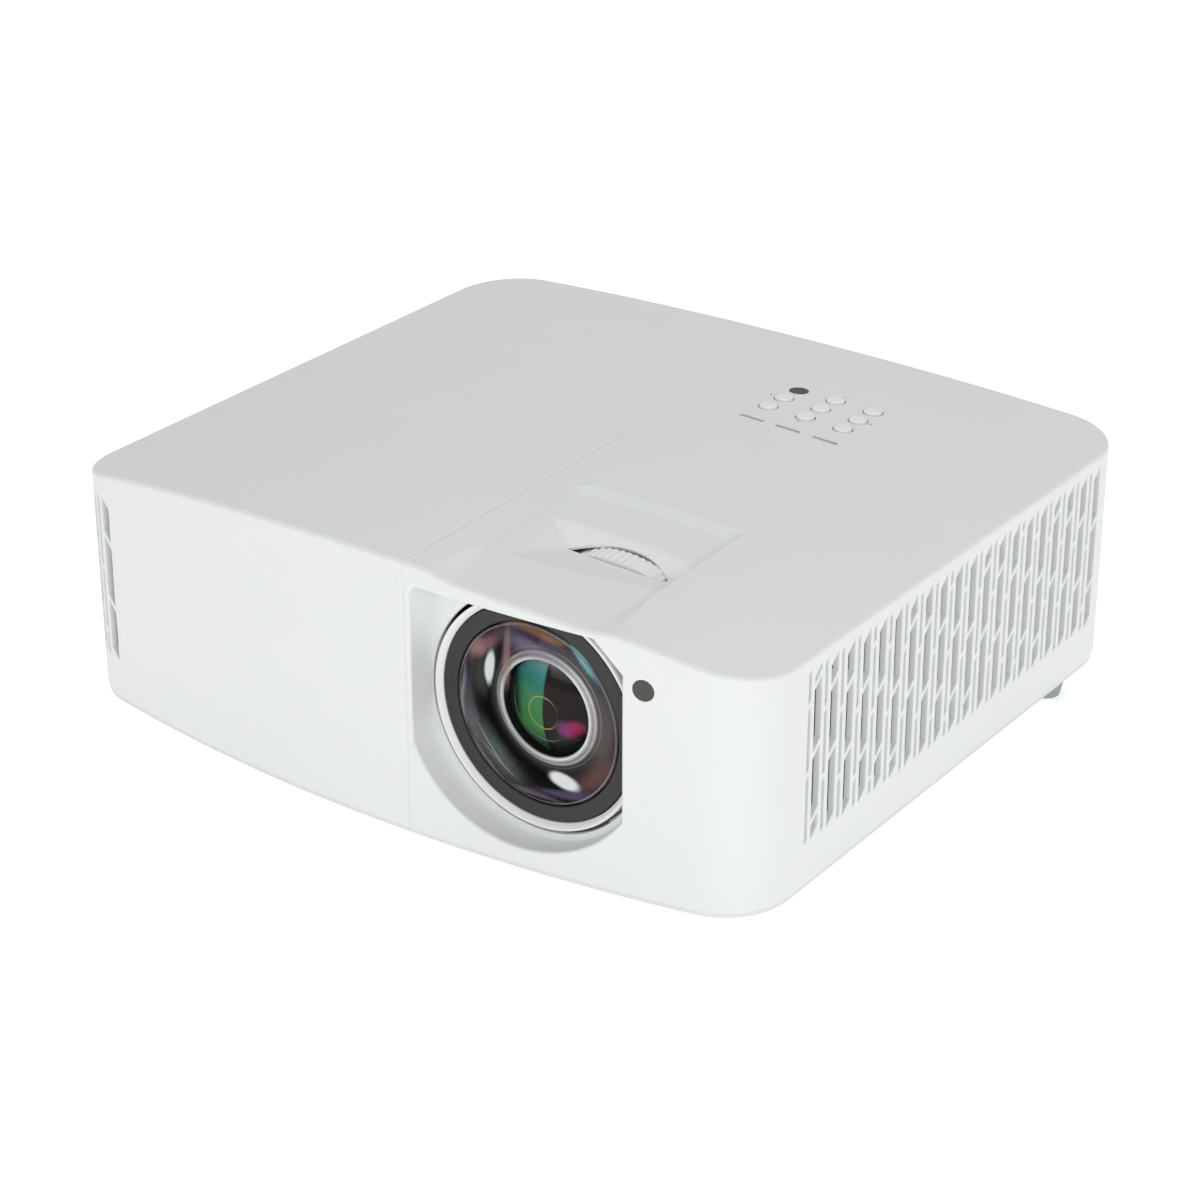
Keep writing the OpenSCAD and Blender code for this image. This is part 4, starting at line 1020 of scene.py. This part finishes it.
def build_ring():
    step, rear, front = RING_STEP_Y, RING_REAR_Y, RING_FRONT_Y
    sleeve, mouth = RING_SLEEVE_R, RING_MOUTH_R
    mouth_run = [(mouth, step - 1.5), (mouth, -118.0), (mouth, front + 2.2), (mouth, front + 2.0),
                 (mouth + 0.1, front + 1.6), (43.0, front + 0.15)]
    sleeve_run = [(sleeve, front + 0.9), (sleeve, -118.0), (sleeve, step)]
    turned("focus_ring_turned", [
        [(RING_BORE_R, rear), (RING_BORE_R, -90.0), (RING_BORE_R, step - 1.5)],
        [(RING_BORE_R, step - 1.5), (38.0, step - 1.5), (mouth, step - 1.5)],
        mouth_run + arc_run(sleeve - 0.5, front + 0.5, 0.5, -100, 0, 6) + sleeve_run,
        [(sleeve, step), (41.0, step), (NECK_R, step)],
        [(NECK_R, step), (NECK_R, -94.0), (NECK_R, WHEEL_FRONT_Y)],
    ], ring_white, "focus_ring", ("focus_ring",), 180)
    y0, edge = WHEEL_FRONT_Y, 0.7
    crest = WHEEL_R - edge
    rim = [(NECK_R, y0), (40.2, y0), (crest - 0.2, y0)] + arc_run(crest, y0 + edge, edge, -85, 0, 6)
    rim += [(WHEEL_R, y) for y in np.linspace(y0 + edge + 0.3, rear - edge - 0.3, 6)]
    rim += arc_run(crest, rear - edge, edge, 0, 85, 6)
    rim += [(crest - 0.2, rear), (39.0, rear), (RING_BORE_R, rear)]
    turned("focus_ring_rim", [rim], ring_white, "focus_ring", (), 1080, ring_ribs)


def build_front_lens():
    seat, front, rear, cell = GLASS_R + 0.2, CELL_FRONT_Y, CELL_REAR_Y, CELL_R
    turned("front_lens_cell_turned", [
        [(seat, rear), (seat, front + 1.4), (GLASS_R + 0.3, front + 0.6)]
        + arc_run(GLASS_R + 0.8, front + 0.5, 0.5, 180, 270, 5)
        + [(GLASS_R + 1.4, front), (38.0, front), (40.2, front)]
        + arc_run(cell - 0.5, front + 0.5, 0.5, 270, 360, 5) + [(cell, front + 1.1), (cell, rear)],
        [(cell, rear), (38.0, rear), (seat, rear)],
    ], cell_black, "front_lens_group", ("front_lens_cell",))
    edge = [(GLASS_R, -122.6), (GLASS_R, -129.8), (GLASS_R - 0.05, -130.2)]
    turned("front_glass_dome", [edge + dome(GLASS_R, 8.0, GLASS_EDGE_Y, 0.3, 26)],
           coated_glass(), "front_lens_group", ("front_glass",))


def build_inner_lens():
    f, rear, bore = INNER_FRONT_Y, INNER_REAR_Y, INNER_R + 0.1
    tip, wall = INNER_R + 2.0, GLASS_R + 0.1
    flank = [(tip + 0.3 + t, f + 0.45 + 0.30 * t + 0.028 * t * t) for t in np.linspace(0, 10.1, 10)]
    turned("inner_lens_cell_turned", [
        [(wall, f + 8.0), (33.5, f + 7.6), (GLASS_R - 3.4, f + 6.9)] + flank[::-1]
        + arc_run(tip - 0.35, f + 0.5, 0.5, 320, 265, 4) + [(INNER_R + 0.7, f + 0.02)]
        + arc_run(INNER_R + 0.5, f + 0.4, 0.4, 270, 180, 4) + [(bore, f + 1.0), (bore, rear)],
        [(bore, rear), (27.0, rear), (wall, rear)],
    ], cone_coated(), "front_lens_group", ("inner_lens_cell",))
    edge_y = f + 4.0
    edge = [(INNER_R, edge_y + 3.4), (INNER_R, edge_y + 0.4)]
    turned("inner_glass_dome", [edge + dome(INNER_R, 5.0, edge_y, 0.1, 20)],
           inner_reflections_painted(), "front_lens_group", ("inner_glass",))


def axis_place(tree):
    """Place relative to the lens's axis, in radii of the front glass: right and up."""
    size = 1 / (GLASS_R * MM)
    centre = {0: object_place(tree), 1: (LENS_X * MM, 0, LENS_Z * MM)}
    shift = add_node(tree, "ShaderNodeVectorMath", centre, operation="SUBTRACT").outputs[0]
    scaled = add_node(tree, "ShaderNodeVectorMath", {0: shift, 1: (size, 0.0, size)}, operation="MULTIPLY")
    split = add_node(tree, "ShaderNodeSeparateXYZ", {0: scaled.outputs[0]})
    return split.outputs["X"], split.outputs["Z"]


def maths(tree, operation, *values):
    return add_node(tree, "ShaderNodeMath", dict(enumerate(values)), operation=operation).outputs[0]


def spread(tree, value, low, high, **settings):
    """0 at low and 1 at high, held beyond them."""
    inputs = {"Value": value, "From Min": low, "From Max": high}
    return add_node(tree, "ShaderNodeMapRange", inputs, **settings).outputs["Result"]


def radius_of(tree, x, z):
    squares = [maths(tree, "MULTIPLY", v, v) for v in (x, z)]
    return maths(tree, "SQRT", maths(tree, "ADD", *squares))


def warped(tree, scale, detail, amount):
    """A small wavering shift."""
    return maths(tree, "MULTIPLY", maths(tree, "SUBTRACT", noise(tree, scale, detail), 0.5), amount)


def blot(tree, x, z, cx, cz, rx, rz, turn=0.0, sharp=0.5):
    """1 inside a soft-edged ellipse at (cx, cz) in lens radii, 0 outside."""
    c, s = math.cos(turn), math.sin(turn)
    dx, dz = maths(tree, "SUBTRACT", x, cx), maths(tree, "SUBTRACT", z, cz)
    u = maths(tree, "ADD", maths(tree, "MULTIPLY", dx, c / rx), maths(tree, "MULTIPLY", dz, s / rx))
    v = maths(tree, "ADD", maths(tree, "MULTIPLY", dx, -s / rz), maths(tree, "MULTIPLY", dz, c / rz))
    return spread(tree, radius_of(tree, u, v), 1 + sharp, 1 - sharp, interpolation_type="SMOOTHSTEP")


def mixed(tree, factor, a, b, **settings):
    inputs = {"Factor": factor, "A": a, "B": b}
    return add_node(tree, "ShaderNodeMix", inputs, data_type="RGBA", **settings).outputs["Result"]


def paint(tree, under, colour, mask, amount=1.0):
    return mixed(tree, maths(tree, "MULTIPLY", mask, amount), under, (*colour, 1))


def ring_mask(tree, r, at, width):
    off = maths(tree, "ABSOLUTE", maths(tree, "SUBTRACT", r, at))
    return spread(tree, off, width, width * 0.3, interpolation_type="SMOOTHSTEP")


# Painted reflections on the front glass, the coloured patches its coating reflects and two pale softbox
# reflections: colour, centre, half widths, turn, softness, strength.
# Places and widths are in radii of the glass, turns in radians.
PAINTED_REFLECTIONS = [
    ((0.012, 0.014, 0.014), (-0.66, 0.40, 0.12, 0.26), 0.35, 0.5, 0.85),
    ((0.070, 0.100, 0.098), (-0.46, -0.50, 0.40, 0.17), -0.75, 0.8, 0.75),
    ((0.26, 0.30, 0.30), (-0.50, -0.46, 0.34, 0.010), -0.90, 0.6, 0.45),
    ((0.22, 0.24, 0.25), (-0.40, -0.62, 0.26, 0.010), -0.60, 0.6, 0.40),
    ((0.095, 0.080, 0.095), (-0.80, -0.14, 0.13, 0.46), 0.10, 0.7, 0.55),
    ((0.30, 0.15, 0.16), (-0.66, 0.62, 0.28, 0.09), 0.75, 0.7, 0.60),
    ((0.24, 0.11, 0.05), (-0.08, 0.93, 0.50, 0.055), -0.06, 0.6, 0.85),
    ((0.30, 0.16, 0.16), (-0.30, 0.62, 0.055, 0.30), 0.15, 0.6, 0.65),
    ((0.22, 0.19, 0.26), (0.02, 0.76, 0.42, 0.085), -0.16, 0.7, 0.55),
    ((0.05, 0.03, 0.07), (0.08, 0.86, 0.40, 0.035), -0.12, 0.6, 0.7),
    ((0.70, 0.74, 0.74), (-0.49, 0.44, 0.070, 0.19), 0.10, 0.3, 0.92),
    ((0.14, 0.42, 0.42), (0.56, 0.80, 0.30, 0.040), -0.80, 0.5, 0.85),
    ((0.13, 0.105, 0.10), (0.88, 0.02, 0.13, 0.50), 0.0, 0.9, 0.50),
    ((0.14, 0.06, 0.055), (0.76, -0.50, 0.12, 0.28), -0.75, 0.9, 0.65),
    ((0.68, 0.71, 0.72), (0.41, -0.59, 0.17, 0.105), -0.35, 0.3, 0.92),
    ((0.05, 0.035, 0.10), (0.38, -0.78, 0.34, 0.055), 0.12, 0.6, 0.8),
    ((0.14, 0.09, 0.13), (0.02, -0.90, 0.34, 0.045), -0.05, 0.6, 0.6),
    ((0.24, 0.20, 0.27), (-0.93, -0.16, 0.045, 0.45), -0.12, 0.6, 0.65),
    ((0.20, 0.17, 0.22), (-0.62, -0.72, 0.045, 0.32), 0.80, 0.6, 0.6),
]


def thinned(tree, clear, mask, amount):
    """How much of the clear share is left where a painted reflection covers the glass."""
    left = maths(tree, "SUBTRACT", 1.0, maths(tree, "MULTIPLY", mask, amount))
    return maths(tree, "MULTIPLY", clear, left)


def coated_glass():
    """The front glass: clear but for the painted reflections of its layered coating."""
    material, tree, bsdf = node_material("coated_glass")
    x, z = axis_place(tree)
    r = radius_of(tree, x, z)
    colour = ramp(tree, r, [(0.5, (0.03, 0.035, 0.035)), (0.97, (0.05, 0.045, 0.05))], True)
    warp = warped(tree, 60, 0, 0.12)
    xw, zw = maths(tree, "ADD", x, warp), maths(tree, "SUBTRACT", z, warp)
    clear = 0.97
    # Each patch paints a reflection into the colour and makes the glass less clear there.
    for tint, ellipse, turn, sharp, amount in PAINTED_REFLECTIONS:
        mask = blot(tree, xw, zw, *ellipse, turn, sharp)
        colour = paint(tree, colour, tint, mask)
        clear = thinned(tree, clear, mask, amount)
    # A grey ring along the glass's rim, also a painted reflection.
    rim = ring_mask(tree, r, 0.975, 0.014)
    clear = thinned(tree, clear, rim, 0.7)
    feed(tree, bsdf, {"Base Color": paint(tree, colour, (0.20, 0.19, 0.21), rim),
                      "Alpha": maths(tree, "SUBTRACT", 1.0, clear),
                      "Roughness": 0.05, "Specular IOR Level": 0.2})
    return material


def cone_coated():
    """The silvery ring round the inner element and the dark cone behind it; its bore is black."""
    material, tree, bsdf = node_material("cell_silver_cone")
    r = radius_of(tree, *axis_place(tree))
    band = ramp(tree, r, [(0.52, (0.60, 0.60, 0.59)), (0.58, (0.52, 0.52, 0.51)), (0.615, (0.42, 0.41, 0.41)),
                          (0.645, (0.08, 0.075, 0.08)), (0.95, (0.018, 0.020, 0.020))], True)
    for colour, at, width, amount in [((0.92, 0.92, 0.90), 0.553, 0.012, 0.9),
                                      ((0.80, 0.79, 0.77), 0.612, 0.014, 0.8),
                                      ((0.34, 0.33, 0.33), 0.665, 0.010, 0.6)]:
        band = paint(tree, band, colour, ring_mask(tree, r, at, width), amount)
    depth = add_node(tree, "ShaderNodeSeparateXYZ", {0: object_place(tree)}).outputs["Y"]
    behind = spread(tree, depth, -0.1256, -0.1252)
    bore = maths(tree, "MULTIPLY", behind, spread(tree, r, 0.565, 0.550))
    band = paint(tree, band, (0.012, 0.012, 0.012), bore)
    grain = ramp(tree, noise(tree, 300), [(0.3, (0.94, 0.94, 0.94)), (0.7, (1, 1, 1))])
    feed(tree, bsdf, {"Base Color": mixed(tree, 1.0, band, grain, blend_type="MULTIPLY"),
                      "Roughness": 0.3, "Metallic": 0.25})
    return material


def inner_reflections_painted():
    """The inner element: painted reflections in its coating, green at the left and near black at the right, a
    painted glint, thin painted reflected rings.
    """
    material, tree, bsdf = node_material("inner_glass_painted_reflections")
    x, z = axis_place(tree)
    x = maths(tree, "ADD", x, warped(tree, 90, 3, 0.03))
    r = radius_of(tree, x, z)
    # Painted reflection: the coating shows green at the left and near black at the right.
    up = spread(tree, z, -0.5, 0.5)
    green = ramp(tree, up, [(0.05, (0.03, 0.07, 0.05)), (0.25, (0.06, 0.22, 0.06)),
                            (0.55, (0.045, 0.20, 0.07)), (0.75, (0.02, 0.20, 0.14)),
                            (0.86, (0.06, 0.28, 0.28)), (0.98, (0.20, 0.42, 0.44))])
    dark = ramp(tree, up, [(0.1, (0.010, 0.016, 0.012)), (0.45, (0.006, 0.003, 0.003)),
                           (0.75, (0.014, 0.008, 0.008)), (0.92, (0.018, 0.018, 0.018))])
    colour = mixed(tree, spread(tree, x, -0.02, 0.0), green, dark)
    # Painted reflections: a dark patch, a red glint and a purple glint.
    for tint, ellipse, turn, sharp, amount in [
            ((0.012, 0.016, 0.014), (-0.46, 0.04, 0.12, 0.34), 0.15, 0.5, 0.95),
            ((0.34, 0.02, 0.10), (0.31, -0.15, 0.13, 0.085), 0.45, 0.4, 0.95),
            ((0.16, 0.04, 0.17), (0.22, -0.17, 0.07, 0.085), 0.3, 0.6, 0.8)]:
        colour = paint(tree, colour, tint, blot(tree, x, z, *ellipse, turn, sharp), amount)
    # Two thin painted reflected rings, a yellow one and a pale green one.
    near_place = maths(tree, "ADD", x, 0.01), maths(tree, "ADD", z, 0.04)
    near = ring_mask(tree, radius_of(tree, *near_place), 0.18, 0.011)
    open_right = blot(tree, x, z, -0.14, -0.06, 0.26, 0.34, 0.0, 0.25)
    colour = paint(tree, colour, (0.36, 0.38, 0.12), maths(tree, "MULTIPLY", near, open_right), 0.8)
    far = ring_mask(tree, radius_of(tree, maths(tree, "ADD", x, 0.05), z), 0.38, 0.009)
    low_left = blot(tree, x, z, -0.26, -0.28, 0.36, 0.36, 0.0, 0.35)
    colour = paint(tree, colour, (0.30, 0.42, 0.34), maths(tree, "MULTIPLY", far, low_left), 0.7)
    colour = paint(tree, colour, (0.02, 0.03, 0.025), ring_mask(tree, r, 0.535, 0.04), 0.8)
    feed(tree, bsdf, {"Base Color": colour, "Roughness": 0.05, "Specular IOR Level": 0.18})
    return material


# ---------------------------------------------------------------- keys, feet and small trim
def upright_turned(name, profile, centre, material, body, node, n=48, base=None):
    """Turned about a vertical axis from (radius, z) runs; base(x, y) may be added to z."""
    turn = np.linspace(0, 2 * math.pi, n, endpoint=False)
    c, s = np.cos(turn), np.sin(turn)

    def row_at(r, z, dr, dz):
        x, y = centre[0] + r * c, centre[1] + r * s
        height = np.full(n, z) if base is None else z + base(x, y)
        return np.stack([x, y, height], 1), np.stack([dz * c, dz * s, np.full(n, -dr)], 1)

    return revolved(name, profile, row_at, material, body, (node,), True)


def build_keys():
    for key, (x, y) in key_places().items():
        node = "button_" + key
        top = crown(x, y) + KEY_PROUD
        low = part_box(node)[0].z / MM
        profile = [[(KEY_R, low), (KEY_R, top - 0.7)] + arc_run(KEY_R - 0.6, top - 0.66, 0.6, 0, 80, 6)
                   + [(2.4, top - 0.015), (1.2, top), (0.1, top)]]
        upright_turned("key_" + key, profile, (x, y), key_white, node, node)
    r = REMOTE_R
    profile = [[(r, -3.0), (r, -0.42)] + arc_run(r - 0.3, -0.4, 0.3, 0, 85, 4) + [(2.5, -0.09), (0.1, -0.08)]]
    upright_turned("remote_window_top_lens", profile, (TOP_REMOTE_X, TOP_REMOTE_Y), remote_window, "case",
                   "remote_window_top", 48, crown)


def build_feet():
    for node in ("foot_front", "foot_rear_right", "foot_rear_left"):
        low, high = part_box(node)
        centre = (low.x + high.x) / 2 / MM, (low.y + high.y) / 2 / MM
        r, top = (high.x - low.x) / 2 / MM, high.z / MM
        profile = [
            [(0.05, 0.5), (r - 4, 0.5), (r - 3, 0.3), (r - 2.6, 0.0), (r - 1.9, 0.0)]
            + arc_run(r - 1.9, 0.8, 0.8, 270, 350, 5) + [(r - 0.75, 2.4), (r - 0.15, 5.4)]
            + arc_run(r - 0.8, 6.6, 0.8, 0, 90, 5) + [(5.0, 7.45), (4.1, 7.45)],
            [(4.0, 7.45), (4.0, top - 0.6), (3.5, top), (0.05, top)],
        ]
        upright_turned(node + "_turned", profile, centre, foot_rubber, node, node, 64)


def build_marks():
    """Small plain arrows beside the four direction keys."""
    skin = Skin()
    size = 0.9
    for key, (dx, dy) in {"up": (0, 1), "down": (0, -1), "left": (-1, 0), "right": (1, 0)}.items():
        x, y = key_places()[key]
        tip = np.array([x + dx * 5.7, y + dy * 5.2])
        ahead, aside = np.array([dx, dy]) * size, np.array([-dy, dx]) * size
        corners = [tip + ahead, tip - 0.4 * ahead + aside, tip - 0.4 * ahead - aside]
        points, normals = top_surface(np.array(corners))
        points[:, 2] += 0.03
        skin.face(skin.add(points, normals))
    skin.build("key_arrows", mark_grey, "case", ())


# ---------------------------------------------------------------- CAD nodes that stay
def dress(materials):
    for material, names in materials.items():
        for name in names:
            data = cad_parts[name].data
            data.materials.clear()
            data.materials.append(material)


dress({
    pan_white: ["bottom_cover"],
    panel_grey: ["rear_panel", "socket_plate"],
    lens_black: ["lens_barrel"],
    clear_glass("rear_element", (0.75, 0.82, 0.85)): ["rear_glass", "prism"],
    clear_glass("quartz", (0.9, 0.92, 0.95)): ["lamp_burner"],
    cast_alloy: ["light_engine_housing", "dmd_heatsink", "integrator_rod"],
    dichroic: ["colour_wheel"],
    motor_steel: ["colour_wheel_motor", "colour_wheel_bracket"],
    lamp_black: ["lamp_housing"],
    reflector: ["lamp_reflector"],
    fan_black: ["intake_fan_frame", "exhaust_fan_frames", "intake_impeller", "exhaust_impeller_front",
                "exhaust_impeller_rear", "speaker"],
    board_green(): ["main_board", "dmd_board", "keypad_board"],
    board_tan: ["power_board", "ballast_board"],
    socket_metal: ["hdmi_ports", "usb_port", "serial_port"],
    socket_black: ["ac_inlet", "audio_jack"],
    light_pipe: ["indicator_light_pipes"],
    remote_window: ["remote_window_front", "remote_window_top"],
    brass: ["mount_inserts"],
    screw_steel: ["case_screws", "board_screws", "lamp_cover_screw"],
})

build_covers()
build_tray()
build_ring()
build_front_lens()
build_inner_lens()
build_keys()
build_feet()
build_marks()


# ---------------------------------------------------------------- floor, light and camera, in metres
WORLD = 0.48
FLOOR_SIZE = 6.0
FLOOR_GLOW = 0.44
SOFTBOXES = [  # name, place, size, power
    ("key_front", (-0.35, -2.2, 0.9), (1.4, 1.0), 8.5),
    ("side_right", (2.0, -1.0, 0.9), (1.2, 1.0), 13),
    ("top_rear", (-0.3, 0.7, 2.2), (1.6, 1.2), 14),
]
LIGHT_AIM = (0, 0, 0.06)
CAMERA_AZ, CAMERA_EL = 35.66, 26.226
CAMERA_FAR, CAMERA_LENS = 1.234, 94.36
CAMERA_AIM = (0.00157, -0.02159, 0.0636)  # shift to the right and up, and the height aimed at


def build_floor():
    mesh = bpy.data.meshes.new("floor")
    corners = [(FLOOR_SIZE * x, FLOOR_SIZE * y, 0.0) for x, y in SQUARE]
    mesh.from_pydata(corners, [], [(0, 1, 2, 3)])
    floor = new_object("floor", mesh)
    pale = grained("floor_pale", (0.92, 0.92, 0.92), 0.9, 0.002, 40, 0.0)
    glow = pale.node_tree.nodes["Principled BSDF"]
    feed(pale.node_tree, glow, {"Emission Color": (1, 1, 1, 1), "Emission Strength": FLOOR_GLOW})
    mesh.materials.append(pale)


def softbox(name, place, size, power):
    light = bpy.data.lights.new(name, "AREA")
    light.shape = "RECTANGLE"
    light.size, light.size_y = size
    light.energy = power
    lamp = new_object(name, light)
    lamp.location = place
    lamp.rotation_euler = (Vector(LIGHT_AIM) - Vector(place)).to_track_quat("-Z", "Y").to_euler()


def build_light():
    world = bpy.data.worlds.new("studio")
    world.use_nodes = True
    feed(world.node_tree, world.node_tree.nodes["Background"], {"Color": (1, 1, 1, 1), "Strength": WORLD})
    bpy.context.scene.world = world
    for box in SOFTBOXES:
        softbox(*box)


def build_camera():
    az, el = math.radians(CAMERA_AZ), math.radians(CAMERA_EL)
    back = Vector((math.sin(az) * math.cos(el), -math.cos(az) * math.cos(el), math.sin(el)))
    right = Vector((math.cos(az), math.sin(az), 0))
    up = back.cross(right)
    aim = right * CAMERA_AIM[0] + up * CAMERA_AIM[1] + Vector((0, 0, CAMERA_AIM[2]))
    data = bpy.data.cameras.new("camera")
    data.lens, data.sensor_width = CAMERA_LENS, 36.0
    camera = new_object("camera", data)
    camera.location = aim + back * CAMERA_FAR
    camera.rotation_mode = "QUATERNION"
    camera.rotation_quaternion = (-back).to_track_quat("-Z", "Y")
    bpy.context.scene.camera = camera


build_floor()
build_light()
build_camera()
bpy.context.scene.view_settings.view_transform = "Standard"
